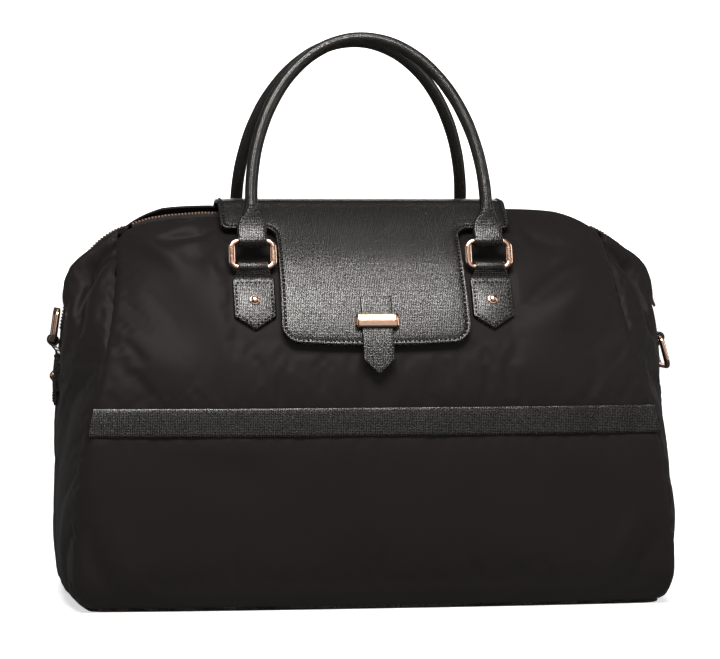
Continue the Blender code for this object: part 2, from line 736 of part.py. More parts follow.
def flap_step(height):
    """The step on the flap's front side that lies at this height."""
    last = len(FLAP_PROFILE) - 1
    return solve(lambda step: -smooth(FLAP_PROFILE, step)[1], -height, CROWN_STEP, last)


def add_flap():
    lobe, bottom = flap_step(LOBE_BOTTOM), flap_step(DROP_BOTTOM)

    def front_step(height_above, end_height):
        return flap_step(end_height + height_above)
    outline = [(0.0, FLAP_HALF), (1.0, FLAP_HALF), (2.0, FLAP_HALF), (3.0, FLAP_HALF),
               (4.0, FLAP_HALF), (5.0, FLAP_HALF),
               (front_step(0.0060, LOBE_BOTTOM), FLAP_HALF),
               (front_step(0.0025, LOBE_BOTTOM), FLAP_HALF - 0.0020),
               (front_step(0.0005, LOBE_BOTTOM), FLAP_HALF - 0.0070),
               (lobe, 0.0850),
               (front_step(-0.0022, LOBE_BOTTOM), 0.0775),
               (front_step(-0.0060, LOBE_BOTTOM), 0.0742),
               (front_step(-0.0110, LOBE_BOTTOM), DROP_HALF - 0.0010),
               (8.5, DROP_HALF - 0.0010), (9.0, DROP_HALF - 0.0010), (9.5, DROP_HALF - 0.0005),
               (10.0, DROP_HALF), (10.4, DROP_HALF),
               (front_step(0.0200, DROP_BOTTOM), DROP_HALF + 0.0010),
               (front_step(0.0110, DROP_BOTTOM), DROP_HALF - 0.0010),
               (front_step(0.0062, DROP_BOTTOM), DROP_HALF - 0.0060),
               (front_step(0.0030, DROP_BOTTOM), DROP_HALF - 0.0150),
               (front_step(0.0010, DROP_BOTTOM), DROP_HALF - 0.0300),
               (bottom, 0.0200)]
    half_of = dict(outline)
    steps = sorted(half_of)

    def places(step):
        return [half_of[step] * share for share in (-1.0, -0.5, 0.0, 0.5, 1.0)]
    add_slab("flap_leather", lifted_grid(flap, steps, places, lambda a, step: 0.0),
             lifted_grid(flap, steps, places, lambda a, step: LEATHER), LEATHER_BLACK)


def add_strap():
    """The strap, which is sewn to the flap, runs under the keeper and ends in a pointed tongue."""
    outline = [(0.2424, STRAP_HALF), (0.2340, STRAP_HALF), (0.2200, STRAP_HALF),
               (0.2060, STRAP_HALF), (0.1945, STRAP_HALF - 0.0004), (0.1900, 0.0085),
               (0.1860, 0.0045), (0.1832, 0.0012)]
    half_of = dict((flap_step(height), half) for height, half in outline)
    steps = sorted(half_of)
    low = LEATHER + GAP

    def places(step):
        return [half_of[step] * share for share in (-1.0, 0.0, 1.0)]
    add_slab("flap_strap", lifted_grid(flap, steps, places, lambda a, step: low),
             lifted_grid(flap, steps, places, lambda a, step: low + LEATHER), LEATHER_BLACK)


def add_keeper():
    """A metal bridge over the strap: a plate on two legs that stand on the flap."""
    seat = LEATHER + GAP
    tunnel = seat + LEATHER + GAP
    steps = [flap_step(height) for height in (0.2288, 0.2234, 0.2180)]
    foot, inner, outer = 0.0148, 0.0146, 0.0175
    across = [-outer, -foot, -inner, inner, foot, outer]

    def under(a, step):
        return tunnel if abs(a) <= inner + 0.00005 else seat
    add_slab("flap_keeper", lifted_grid(flap, steps, lambda step: across, under),
             lifted_grid(flap, steps, lambda step: across, lambda a, step: tunnel + 0.0022),
             ROSE_GOLD)


def add_disc(name, surface, row, radius, low, high, material):
    """A round plate that follows a surface, centred on the bag's middle."""
    pace = (surface(0.0, row + 0.05) - surface(0.0, row - 0.05)).length / 0.1
    angles = [math.radians(a) for a in (-84.0, -56.0, -28.0, 0.0, 28.0, 56.0, 84.0)]
    half_of = dict((row + radius * math.sin(a) / pace, radius * math.cos(a)) for a in angles)
    rows = sorted(half_of)

    def places(spot):
        return [half_of[spot] * share for share in (-1.0, 0.0, 1.0)]
    add_slab(name, lifted_grid(surface, rows, places, lambda a, spot: low),
             lifted_grid(surface, rows, places, lambda a, spot: high), material)


def add_snap():
    """The hidden magnetic snap: a socket on the panel and a stud under the flap, behind the keeper."""
    height = 0.2225
    add_disc("snap_socket", front, panel_row(height), 0.0085, GAP, GAP + BAND_LEATHER,
             ROSE_GOLD)
    add_disc("snap_stud", flap, flap_step(height + 0.0016), 0.0080, -2.0 * GAP - 0.0010, -2.0 * GAP,
             ROSE_GOLD)


add_shell()
add_zip()
add_slider()
add_handle_hardware()
add_side_hardware()
add_handles()
add_flap()
add_strap()
add_keeper()
add_snap()
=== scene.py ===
"""Weekender bag: the looks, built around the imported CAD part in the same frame.

Metres, +Z up, the front faces -Y. The station tables and surfaces repeat the CAD source's.
"""
import math

import bpy
import numpy as np
from mathutils import Matrix, Vector, geometry


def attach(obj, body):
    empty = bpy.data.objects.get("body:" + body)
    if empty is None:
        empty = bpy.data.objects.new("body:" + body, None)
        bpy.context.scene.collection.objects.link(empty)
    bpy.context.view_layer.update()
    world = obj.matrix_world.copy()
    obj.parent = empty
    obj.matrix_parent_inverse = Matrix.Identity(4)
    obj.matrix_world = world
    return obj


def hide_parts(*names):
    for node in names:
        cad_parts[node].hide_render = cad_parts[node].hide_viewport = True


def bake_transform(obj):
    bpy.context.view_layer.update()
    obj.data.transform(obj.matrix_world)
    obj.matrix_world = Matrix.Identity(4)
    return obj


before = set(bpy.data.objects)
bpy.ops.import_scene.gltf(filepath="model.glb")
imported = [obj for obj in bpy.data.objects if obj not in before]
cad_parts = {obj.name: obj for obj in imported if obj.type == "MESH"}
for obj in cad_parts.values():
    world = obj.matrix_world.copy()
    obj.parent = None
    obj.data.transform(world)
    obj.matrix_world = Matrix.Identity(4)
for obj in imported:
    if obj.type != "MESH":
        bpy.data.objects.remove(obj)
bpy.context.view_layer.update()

# ---------------------------------------------------------------- dimensions shared with the CAD source
GAP = 0.0003
NYLON = 0.0016
LEATHER = 0.0030
PANEL_MID = np.array([
    (0.1105, 0.0033), (0.1175, 0.0120), (0.1200, 0.0350), (0.1205, 0.0900),
    (0.1190, 0.1360), (0.1165, 0.1585), (0.1060, 0.2000), (0.0880, 0.2400),
    (0.0660, 0.2720), (0.0400, 0.2950), (0.0180, 0.3075), (0.0105, 0.3110)])
SEAM = np.array([
    (0.2265, 0.1035, 0.0033), (0.2340, 0.1105, 0.0120), (0.2360, 0.1135, 0.0350),
    (0.2330, 0.1125, 0.0900), (0.2265, 0.1080, 0.1360), (0.2220, 0.1045, 0.1585),
    (0.2130, 0.0915, 0.1970), (0.2050, 0.0700, 0.2340), (0.2015, 0.0480, 0.2620),
    (0.2000, 0.0320, 0.2785), (0.1990, 0.0245, 0.2870), (0.1980, 0.0225, 0.2900)])
SIDE_MID = np.array([
    (0.2350, 0.0033), (0.2420, 0.0120), (0.2445, 0.0350), (0.2460, 0.0900),
    (0.2455, 0.1360), (0.2450, 0.1585), (0.2430, 0.2050), (0.2365, 0.2420),
    (0.2260, 0.2690), (0.2130, 0.2850), (0.2000, 0.2945), (0.1880, 0.2998)])
LAST_ROW = len(SEAM) - 1
BAND_ROW = 5.0
SIDE_BULGE = 0.0065
ZIP_BED = 0.0105
MOUTH_HALF = 0.0092
TEETH_NEAR, TEETH_FAR = 0.0015, 0.0042
RIDGE = np.array([(0.000, 0.3103), (0.130, 0.3103), (0.155, 0.3083), (0.170, 0.3060),
                  (0.180, 0.3030), (0.1850, 0.3010)])
BAR = 0.0023
BORE = BAR + 0.00035
LOOP = 0.0047
LOOP_HALF = 0.0115
RING_HALF = 0.01645
RING_CORNER = 0.0054
HANDLE_RING = 0.0214
SIDE_RING = 0.0244
HANDLE_X = 0.0945
CHAPE_LOOP_HEIGHT = 0.2640
LOOP_LIFT = 0.0056
RING_LEAN = math.radians(18.0)
HANDLE_LEAN = math.radians(16.3)
ROLL = 0.0050
HANDLE_STRAIGHT = 0.0310
HANDLE_ARCH = 0.1395
TAB_END = 0.0287
SIDE_LOOP_HEIGHT = 0.2075
SIDE_LOOP_LIFT = 0.0058
LEFT_RING_LEAN = math.radians(8.0)
RIGHT_RING_TILT = math.radians(15.0)
FLAP_HALF = 0.1170
DROP_HALF = 0.0740
LOBE_BOTTOM = 0.2965
DROP_BOTTOM = 0.2060
STRAP_HALF = 0.0122
SLIDER_HEIGHT = 0.2440
RUN_SLOPE = 0.3600
FLAP_LIFTS = [(1.0, 9.10, 0.0012), (1.0, 9.45, 0.0042), (1.0, 9.90, 0.0066), (1.0, 10.60, 0.0075),
              (-1.0, 10.60, 0.0075), (-1.0, 9.90, 0.0066), (-1.0, 9.40, 0.0052), (-1.0, 8.80, 0.0036),
              (-1.0, 8.00, 0.0030), (-1.0, 7.40, 0.0034), (-1.0, 6.90, 0.0042), (-1.0, 6.40, 0.0042),
              (-1.0, 6.00, 0.0042), (-1.0, 5.50, 0.0042)]
FLAP_CROWN = (0.0, 0.3190)

UP = np.array((0.0, 0.0, 1.0))


# ---------------------------------------------------------------- surfaces, on arrays
def smooth(points, row):
    """A Catmull-Rom curve through the points, which stand at whole rows."""
    last = len(points) - 1
    row = np.clip(np.asarray(row, float), 0.0, last)
    index = np.minimum(row.astype(int), last - 1)
    f = (row - index)[..., None]
    near = [points[np.clip(index + k, 0, last)] for k in (-1, 0, 1, 2)]
    weights = (-0.5 * f + f * f - 0.5 * f ** 3, 1.0 - 2.5 * f * f + 1.5 * f ** 3,
               0.5 * f + 2.0 * f * f - 1.5 * f ** 3, -0.5 * f * f + 0.5 * f ** 3)
    return sum(w * n for w, n in zip(weights, near))


def panel(x, row, face):
    """Points of the front (face -1) or back (face +1) panel."""
    x, row = np.broadcast_arrays(np.asarray(x, float), np.asarray(row, float))
    half_width, half_depth, seam_height = np.moveaxis(smooth(SEAM, row), -1, 0)
    depth, height = np.moveaxis(smooth(PANEL_MID, row), -1, 0)
    across = np.minimum(np.abs(x) / half_width, 1.0)
    rise = (np.clip(row, 0.0, LAST_ROW) / LAST_ROW) ** 4
    depth = depth + (half_depth - depth) * across ** (2.6 + 7.4 * rise)
    height = height + (seam_height - height) * across ** (6.0 + 4.0 * rise)
    return np.stack((x, face * depth, height), -1)


def gusset(y, row, side):
    """Points of the left (side -1) or right (side +1) gusset."""
    y, row = np.broadcast_arrays(np.asarray(y, float), np.asarray(row, float))
    half_width, half_depth, seam_height = np.moveaxis(smooth(SEAM, row), -1, 0)
    middle_width, middle_height = np.moveaxis(smooth(SIDE_MID, row), -1, 0)
    across = np.minimum(np.abs(y) / half_depth, 1.0)
    middle = 1.0 - across ** 2
    beside_zip = np.maximum(0.0, np.abs(y) - ZIP_BED) / (half_depth - ZIP_BED)
    puff = SIDE_BULGE * np.maximum(0.0, 1.0 - ((row - 8.0) / 2.6) ** 2)
    puff = puff * np.sin(math.pi * np.minimum(beside_zip, 1.0)) ** 2
    width = half_width + (middle_width - half_width) * middle + puff
    height = seam_height + (middle_height - seam_height) * middle
    return np.stack((side * width, y, height), -1)


def front(x, row):
    return panel(x, row, -1.0)


def back(x, row):
    return panel(x, row, 1.0)


def left_side(y, row):
    return gusset(y, row, -1.0)


def right_side(y, row):
    return gusset(y, row, 1.0)


FACES = (("front", front, -1.0), ("back", back, 1.0))
SIDES = (("left", left_side, -1.0), ("right", right_side, 1.0))
HANDS = (("left", -1.0), ("right", 1.0))


def ridge_height(x):
    return np.interp(np.abs(x), RIDGE[:, 0], RIDGE[:, 1])


def unit(vectors):
    return vectors / np.maximum(np.linalg.norm(vectors, axis=-1, keepdims=True), 1e-12)


def normals_of(surface, a, b):
    step, row_step = 0.0005, 0.01
    normal = unit(np.cross(surface(a + step, b) - surface(a - step, b),
                           surface(a, b + row_step) - surface(a, b - row_step)))
    outward = surface(a, b) - 0.12 * UP
    return normal * np.where((normal * outward).sum(-1, keepdims=True) > 0.0, 1.0, -1.0)


def lift(surface, a, b, height):
    a, b, height = np.broadcast_arrays(*(np.asarray(v, float) for v in (a, b, height)))
    return surface(a, b) + normals_of(surface, a, b) * height[..., None]


def row_at(points, column, target):
    rows = np.linspace(0.0, LAST_ROW, 1101)
    return float(np.interp(target, smooth(points, rows)[:, column], rows))


def flap_profile():
    points = []
    for face, row, height in FLAP_LIFTS:
        spot = lift(front if face < 0.0 else back, 0.0, row, height)
        points.append((spot[1], spot[2]))
    points.insert(4, FLAP_CROWN)
    return np.array(points)


FLAP_PROFILE = flap_profile()


def flap(x, step):
    """Points of the flap's underside; step runs from the hinge seam down the front."""
    x, step = np.broadcast_arrays(np.asarray(x, float), np.asarray(step, float))
    place = smooth(FLAP_PROFILE, step)
    return np.stack((x, place[..., 0], place[..., 1]), -1)


def flap_step(height):
    steps = np.linspace(len(FLAP_PROFILE) - 1.0, 4.0, 1001)
    return float(np.interp(height, smooth(FLAP_PROFILE, steps)[:, 1], steps))


def run_along(path):
    """The distance along a path at each of its points."""
    return np.concatenate(((0.0,), np.cumsum(np.linalg.norm(np.diff(path, axis=0), axis=1))))


def spots_along(path, run, distances):
    return np.stack([np.interp(distances, run, values) for values in path.T], 1)


def turns(count, start=0.0):
    """Angles at an even pitch round a full turn."""
    return 2.0 * math.pi * (np.arange(count) + start) / count


def squared_round(share, power):
    """A cosine or sine bent towards a square (power under 1), with its sign kept."""
    return np.sign(share) * np.abs(share) ** power


class Ruler:
    """Turns a true distance along a surface into its row, from a start row in a direction."""

    def __init__(self, surface, centre, start, end, steps=400):
        self.rows = np.linspace(start, end, steps)
        self.length = run_along(surface(centre, self.rows))

    def row(self, distance):
        return np.interp(distance, self.length, self.rows)

    def distance(self, row):
        order = np.argsort(self.rows)
        return float(np.interp(row, self.rows[order], self.length[order]))


# ---------------------------------------------------------------- materials
class Nodes:
    """A small helper that builds and links a material's nodes."""

    def __init__(self, name):
        self.material = bpy.data.materials.new(name)
        self.material.use_nodes = True
        self.tree = self.material.node_tree
        self.shader = self.tree.nodes["Principled BSDF"]

    def add(self, kind, inputs=None, **settings):
        node = self.tree.nodes.new(kind)
        for key, value in settings.items():
            setattr(node, key, value)
        for key, value in (inputs or {}).items():
            self.put(node, key, value)
        return node

    def put(self, node, key, value):
        if isinstance(value, bpy.types.NodeSocket):
            self.tree.links.new(value, node.inputs[key])
        else:
            node.inputs[key].default_value = value

    def maths(self, operation, first, second=0.0, clamp=False):
        node = self.add("ShaderNodeMath", {0: first, 1: second}, operation=operation)
        node.use_clamp = clamp
        return node.outputs[0]

    def uv(self, scale):
        uv = self.add("ShaderNodeUVMap", uv_map="UVMap").outputs[0]
        place = self.add("ShaderNodeMapping", {0: uv, 3: scale})
        return place.outputs[0]

    def noise(self, vector, scale, detail=3.0, roughness=0.55):
        node = self.add("ShaderNodeTexNoise", {"Vector": vector, "Scale": scale, "Detail": detail,
                                               "Roughness": roughness})
        return node.outputs[0]

    def ramp(self, value, low, high, start=0.0, end=1.0):
        node = self.add("ShaderNodeMapRange", {0: value, 1: start, 2: end, 3: low, 4: high})
        return node.outputs[0]

    def mix(self, share, low, high):
        node = self.add("ShaderNodeMix", data_type="RGBA")
        self.put(node, 0, share)
        self.put(node, 6, (*low, 1.0))
        self.put(node, 7, (*high, 1.0))
        return node.outputs[2]

    def bump(self, height, strength, distance):
        node = self.add("ShaderNodeBump", {"Strength": strength, "Distance": distance, "Height": height})
        self.put(self.shader, "Normal", node.outputs[0])

    def set(self, **values):
        for key, value in values.items():
            self.put(self.shader, key.replace("_", " "), value)
        return self.material


def weave(nodes, pitch_across, pitch_along):
    """A woven height from two crossing sets of threads, in true size on the UV map."""
    uv = nodes.add("ShaderNodeUVMap", uv_map="UVMap").outputs[0]
    split = nodes.add("ShaderNodeSeparateXYZ", {0: uv})
    across = nodes.maths("SINE", nodes.maths("MULTIPLY", split.outputs[0], 2.0 * math.pi / pitch_across))
    along = nodes.maths("SINE", nodes.maths("MULTIPLY", split.outputs[1], 2.0 * math.pi / pitch_along))
    return nodes.maths("MAXIMUM", across, along)


def nylon_material():
    n = Nodes("satin_nylon")
    wide = n.noise(n.uv((1.0, 1.0, 1.0)), 9.0, 3.0)
    threads = n.noise(n.uv((60.0, 900.0, 1.0)), 1.0, 2.0)
    slubs = n.noise(n.uv((900.0, 60.0, 1.0)), 1.0, 2.0)
    cloudy = n.maths("ADD", n.maths("MULTIPLY", wide, 0.75), n.maths("MULTIPLY", threads, 0.25))
    colour = n.mix(cloudy, (0.0062, 0.0051, 0.0049), (0.0098, 0.0083, 0.0080))
    grain = n.maths("ADD", weave(n, 0.0009, 0.0009), n.maths("ADD", threads, slubs))
    n.bump(grain, 0.10, 0.00012)
    rough = n.ramp(cloudy, 0.46, 0.56)
    return n.set(Base_Color=colour, Roughness=rough, Sheen_Weight=0.02, Sheen_Roughness=0.5,
                 Specular_IOR_Level=0.06)


def leather_material(name, dark, light):
    """Leather with a pressed crosshatch: short crossing ridges, broken up by noise, coloured by their height:
    painted shade in the grooves and a painted highlight on the ridge tips.
    """
    n = Nodes(name)
    fine = n.uv((1.0, 1.0, 1.0))
    shift = n.add("ShaderNodeVectorMath", {0: n.add("ShaderNodeTexNoise", {"Vector": fine, "Scale": 420.0}
                                                    ).outputs[1], 1: (0.0009, 0.0009, 0.0)},
                  operation="MULTIPLY").outputs[0]
    moved = n.add("ShaderNodeVectorMath", {0: fine, 1: shift}, operation="ADD").outputs[0]
    split = n.add("ShaderNodeSeparateXYZ", {0: moved})
    across = n.maths("SINE", n.maths("MULTIPLY", split.outputs[0], 2.0 * math.pi / 0.00140))
    along = n.maths("SINE", n.maths("MULTIPLY", split.outputs[1], 2.0 * math.pi / 0.00125))
    choice = n.noise(fine, 950.0, 1.0)
    pick = n.ramp(choice, 0.0, 1.0, 0.44, 0.56)
    ridges = n.add("ShaderNodeMix", {0: pick, 2: across, 3: along}, data_type="FLOAT").outputs[0]
    pebble = n.noise(fine, 1400.0, 2.0)
    height = n.maths("ADD", n.maths("MULTIPLY", ridges, 0.5), pebble)
    n.bump(height, 1.0, 0.00009)
    wide = n.noise(fine, 30.0, 3.0)
    tips = n.ramp(ridges, 0.0, 1.0, -0.1, 0.9)
    # Painted shade and highlight: the colour follows the crosshatch's height, dark in its grooves and light
    # on its ridge tips.
    share = n.maths("MULTIPLY", n.maths("ADD", tips, 0.06), n.ramp(pebble, 0.2, 1.3, 0.38, 0.62), clamp=True)
    colour = n.mix(share, dark, light)
    rough = n.ramp(n.maths("ADD", wide, tips), 0.36, 0.21, 0.2, 1.4)
    return n.set(Base_Color=colour, Roughness=rough, Specular_IOR_Level=n.ramp(ridges, 0.15, 1.0, -0.3, 0.7))


def metal_material(name, colour, rough_low, rough_high):
    n = Nodes(name)
    place = n.add("ShaderNodeTexCoord").outputs["Object"]
    smudge = n.noise(place, 260.0, 4.0, 0.6)
    fine = n.noise(place, 3000.0, 2.0)
    tint = n.mix(smudge, tuple(0.88 * c for c in colour), colour)
    n.bump(fine, 0.03, 0.00005)
    return n.set(Base_Color=tint, Metallic=1.0, Roughness=n.ramp(smudge, rough_low, rough_high, 0.3, 0.7))


def cloth_material(name, dark, light, pitch):
    n = Nodes(name)
    threads = weave(n, pitch, pitch)
    cloudy = n.noise(n.uv((1.0, 1.0, 1.0)), 60.0, 3.0)
    share = n.maths("ADD", n.maths("MULTIPLY", threads, 0.35), n.maths("MULTIPLY", cloudy, 0.6), clamp=True)
    n.bump(threads, 0.4, pitch * 0.25)
    return n.set(Base_Color=n.mix(share, dark, light), Roughness=0.8, Specular_IOR_Level=0.2)


def plain_material(name, dark, light, scale, rough):
    """A grained solid on its own object coordinates, for pieces with no UV map."""
    n = Nodes(name)
    place = n.add("ShaderNodeTexCoord").outputs["Object"]
    grain = n.noise(place, scale, 4.0)
    n.bump(grain, 0.25, 0.0002)
    return n.set(Base_Color=n.mix(grain, dark, light), Roughness=rough)


NYLON_CLOTH = nylon_material()
# The leather's two colours carry painted shade in the crosshatch's grooves and a painted highlight on its
# ridge tips.
SAFFIANO = leather_material("crosshatch_leather", (0.0016, 0.0014, 0.0012), (0.0200, 0.0174, 0.0146))
ROSE_GOLD = metal_material("rose_gold", (0.93, 0.60, 0.45), 0.15, 0.22)
TEETH_GOLD = metal_material("teeth_rose_gold", (0.70, 0.44, 0.33), 0.20, 0.32)
ZIP_TAPE = cloth_material("woven_tape", (0.0070, 0.0064, 0.0060), (0.0190, 0.0175, 0.0165), 0.0009)
LINING_CLOTH = cloth_material("lining_cloth", (0.030, 0.027, 0.025), (0.055, 0.050, 0.047), 0.0012)
THREAD = plain_material("waxed_thread", (0.0010, 0.0010, 0.0009), (0.0026, 0.0025, 0.0023), 2600.0, 0.80)
BOARD = plain_material("stiffening_board", (0.090, 0.086, 0.080), (0.130, 0.124, 0.116), 500.0, 0.85)
ROPE = plain_material("filler_rope", (0.45, 0.42, 0.37), (0.62, 0.58, 0.52), 900.0, 0.92)


# ---------------------------------------------------------------- mesh helpers
def link(name, data):
    item = bpy.data.objects.new(name, data)
    bpy.context.scene.collection.objects.link(item)
    return item


def add_mesh(name, points, faces, material, uv=None, angle=45.0):
    """A mesh object. uv holds one place for each point."""
    mesh = bpy.data.meshes.new(name)
    mesh.from_pydata([tuple(map(float, p)) for p in points], [], [tuple(map(int, f)) for f in faces])
    mesh.materials.append(material)
    if uv is not None:
        layer = mesh.uv_layers.new(name="UVMap")
        loops = np.zeros(len(mesh.loops), np.int32)
        mesh.loops.foreach_get("vertex_index", loops)
        layer.data.foreach_set("uv", np.asarray(uv, np.float32)[loops].ravel())
    mesh.shade_smooth()
    mesh.set_sharp_from_angle(angle=math.radians(angle))
    return link(name, mesh)


def place_piece(item, body, slot, *nodes):
    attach(item, body)
    if nodes:
        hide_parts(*nodes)
    return item


def grid_faces(rows, columns, wrap=False, flip=False):
    """Quads over a grid of points; wrap joins the last column to the first."""
    r = np.arange(rows - 1)[:, None]
    c = np.arange(columns if wrap else columns - 1)[None, :]
    d = (c + 1) % columns
    quads = np.stack(np.broadcast_arrays(r * columns + c, r * columns + d,
                                         (r + 1) * columns + d, (r + 1) * columns + c), -1).reshape(-1, 4)
    return quads[:, ::-1] if flip else quads


def tube_faces(rows, sides):
    """Faces of a closed tube: a wrapped grid with a cap on each end."""
    faces = [tuple(f) for f in grid_faces(rows, sides, wrap=True)]
    return faces + [tuple(reversed(range(sides))), tuple(range((rows - 1) * sides, rows * sides))]


def ring_faces(rows, sides):
    """Faces of a ring-shaped tube, whose last row joins its first."""
    return [tuple(int(i) % (rows * sides) for i in f) for f in grid_faces(rows + 1, sides, wrap=True)]


def grid_normals(grid):
    return unit(np.cross(np.gradient(grid, axis=1), np.gradient(grid, axis=0)))


def metric_uv(grid):
    """True distances over a grid of points: across from the middle column, up from the first row."""
    steps = np.linalg.norm(np.diff(grid, axis=1), axis=2)
    across = np.concatenate((np.zeros((grid.shape[0], 1)), np.cumsum(steps, 1)), 1)
    across -= across[:, across.shape[1] // 2][:, None]
    rises = np.linalg.norm(np.diff(grid, axis=0), axis=2)
    along = np.concatenate((np.zeros((1, grid.shape[1])), np.cumsum(rises, 0)), 0)
    return np.stack((across, np.broadcast_to(along.mean(1)[:, None], across.shape)), -1)


def sheet_arrays(outer, inner):
    """Points, faces and UVs of a closed sheet between two grids, the outer one facing out."""
    rows, columns = outer.shape[:2]
    count = rows * columns
    points = np.concatenate((outer.reshape(-1, 3), inner.reshape(-1, 3)))
    uv = metric_uv(outer).reshape(-1, 2)
    facing = grid_normals(outer)
    flip = float(((outer - inner) * facing).sum()) < 0.0
    faces = [grid_faces(rows, columns, flip=flip), grid_faces(rows, columns, flip=not flip) + count]
    index = np.arange(count).reshape(rows, columns)
    rim = np.concatenate((index[0], index[1:, -1], index[-1, -2::-1], index[-2:0:-1, 0]))
    after = np.roll(rim, -1)
    side = np.stack((rim, rim + count, after + count, after), -1)
    faces.append(side[:, ::-1] if flip else side)
    return points, [tuple(f) for block in faces for f in block], np.concatenate((uv, uv))


def add_sheet(name, outer, inner, material):
    points, faces, uv = sheet_arrays(outer, inner)
    return add_mesh(name, points, faces, material, uv)


def join_arrays(parts):
    """Several (points, faces, uv) sets as one."""
    points, faces, uvs, offset = [], [], [], 0
    for own_points, own_faces, own_uv in parts:
        points.append(own_points)
        faces += [tuple(i + offset for i in face) for face in own_faces]
        uvs.append(own_uv)
        offset += len(own_points)
    return np.concatenate(points), faces, np.concatenate(uvs)


# ---------------------------------------------------------------- patches cut to an outline
def distance_to(outline, points):
    """Distance of each point to a closed outline, worked out in blocks to save memory."""
    block = 2500
    start, end = outline, np.roll(outline, -1, 0)
    run = end - start
    squared = np.maximum((run ** 2).sum(1), 1e-18)
    found = []
    for i in range(0, len(points), block):
        away = points[i:i + block, None, :] - start[None]
        t = np.clip((away * run[None]).sum(2) / squared[None], 0.0, 1.0)
        found.append(np.sqrt(((away - run[None] * t[..., None]) ** 2).sum(2).min(1)))
    return np.concatenate(found)


def inside(outline, points):
    x, y = points[:, 0][:, None], points[:, 1][:, None]
    x0, y0 = outline[:, 0][None], outline[:, 1][None]
    x1, y1 = np.roll(x0, -1, 1), np.roll(y0, -1, 1)
    crossing = (y0 > y) != (y1 > y)
    slope = (x1 - x0) * (y - y0) / np.where(y1 == y0, 1e-12, y1 - y0) + x0
    return (crossing & (x < slope)).sum(1) % 2 == 1


def rounded(corners, spacing):
    """A closed outline through (x, y, radius) corners, in counter-clockwise order."""
    points = []
    count = len(corners)
    for i in range(count):
        spot = np.array(corners[i][:2])
        before = unit(np.array(corners[i - 1][:2]) - spot)
        after = unit(np.array(corners[(i + 1) % count][:2]) - spot)
        radius = corners[i][2]
        half = 0.5 * math.acos(max(-1.0, min(1.0, float(before @ after))))
        if radius <= 0.0 or half > 1.55:
            points.append(spot)
            continue
        reach = radius / math.tan(half)
        centre = spot + unit(before + after) * (radius / math.sin(half))
        start, end = spot + before * reach - centre, spot + after * reach - centre
        sweep = math.pi - 2.0 * half
        steps = max(3, int(math.ceil(sweep * radius / (0.5 * spacing))))
        for k in range(steps + 1):
            t = sweep * k / steps
            points.append(centre + (start * math.sin(sweep - t) + end * math.sin(t)) / math.sin(sweep))
    dense = []
    for here, there in zip(points, points[1:] + points[:1]):
        parts = max(1, int(math.ceil(np.linalg.norm(there - here) / spacing)))
        dense += [here + (there - here) * k / parts for k in range(parts)]
    return np.array(dense)


def mirrored(right, from_left=False):
    """Corners of a symmetric outline from those of its right half; from_left starts at the last one."""
    corners = right + [(-x, y, radius) for x, y, radius in reversed(right) if x]
    return corners[-1:] + corners[:-1] if from_left else corners


def inset(outline, distance):
    """The outline moved inwards, without points that come too close to it."""
    along = np.roll(outline, -1, 0) - np.roll(outline, 1, 0)
    moved = outline + unit(np.stack((-along[:, 1], along[:, 0]), 1)) * distance
    keep = distance_to(outline, moved) > distance * 0.985
    return moved[keep]


def cut_cells(outline, rings, spacing):
    """Triangles over the inside of an outline, with rings of points near its edge."""
    points = [outline] + [inset(outline, distance) for distance in rings]
    low, high = outline.min(0), outline.max(0)
    xs = np.arange(low[0] + 0.5 * spacing, high[0], spacing)
    ys = np.arange(low[1] + 0.5 * spacing, high[1], spacing)
    inner = np.stack(np.meshgrid(xs, ys), -1).reshape(-1, 2)
    inner = inner[inside(outline, inner)]
    inner = inner[distance_to(outline, inner) > rings[-1] + 0.45 * spacing]
    points.append(inner)
    flat = np.concatenate(points)
    count = len(outline)
    edges = [(i, (i + 1) % count) for i in range(count)]
    found = geometry.delaunay_2d_cdt([Vector(p) for p in flat], edges, [], 1, 1e-6)
    return np.array([tuple(v) for v in found[0]]), [tuple(f) for f in found[2]]


def edge_round(distance, top, radius):
    """The height of a rounded rim: radius below the top at the edge, level from there in."""
    near = np.clip(distance, 0.0, radius)
    return top - radius + np.sqrt(np.maximum(radius ** 2 - (radius - near) ** 2, 0.0))


GROOVE_DEPTH, GROOVE_WIDTH = 0.00055, 0.0008


def add_patch(name, outline, place, low, high, material, spacing, radius, line=None):
    """A closed piece cut to a flat outline and laid on a surface.

    place(points, lift) turns flat points and their lift into space; low(points) and
    high(points, distance) give the underside and the top.
    """
    rings = [radius * k for k in (0.15, 0.45, 1.0)]
    if line:
        rings += [line - GROOVE_WIDTH, line, line + GROOVE_WIDTH]
    flat, faces = cut_cells(outline, rings, spacing)
    distance = distance_to(outline, flat)
    top = edge_round(distance, high(flat, distance), radius)
    if line:
        top = top - GROOVE_DEPTH * np.exp(-((distance - line) / GROOVE_WIDTH) ** 2)
    over = place(flat, top)
    under = place(flat, low(flat))
    count = len(flat)
    first = faces[0]
    turn = np.cross(over[first[1]] - over[first[0]], over[first[2]] - over[first[0]])
    flip = float(turn @ (over[first[0]] - under[first[0]])) < 0.0
    edges = {}
    for face in faces:
        for here, there in zip(face, face[1:] + face[:1]):
            edges[(here, there)] = True
    rim = [(a, b) for a, b in edges if (b, a) not in edges]
    closed = [face[::-1] if flip else face for face in faces]
    closed += [tuple(i + count for i in (face if flip else face[::-1])) for face in faces]
    sides = [(a, a + count, b + count, b) for a, b in rim]
    closed += [side[::-1] if flip else side for side in sides]
    return add_mesh(name, np.concatenate((over, under)), closed, material,
                    np.concatenate((flat, flat)), 50.0)


def capsule():
    """One stitch: a small closed shape of unit length along X."""
    segments, rings = 6, 5
    points = []
    for r in range(rings):
        t = -1.0 + 2.0 * (r + 0.5) / rings
        wide = (1.0 - abs(t) ** 3) ** 0.5
        for s in range(segments):
            angle = 2.0 * math.pi * s / segments
            points.append((0.5 * t, 0.5 * wide * math.cos(angle), 0.5 * wide * math.sin(angle)))
    return np.array(points), tube_faces(rings, segments)


STITCH = capsule()


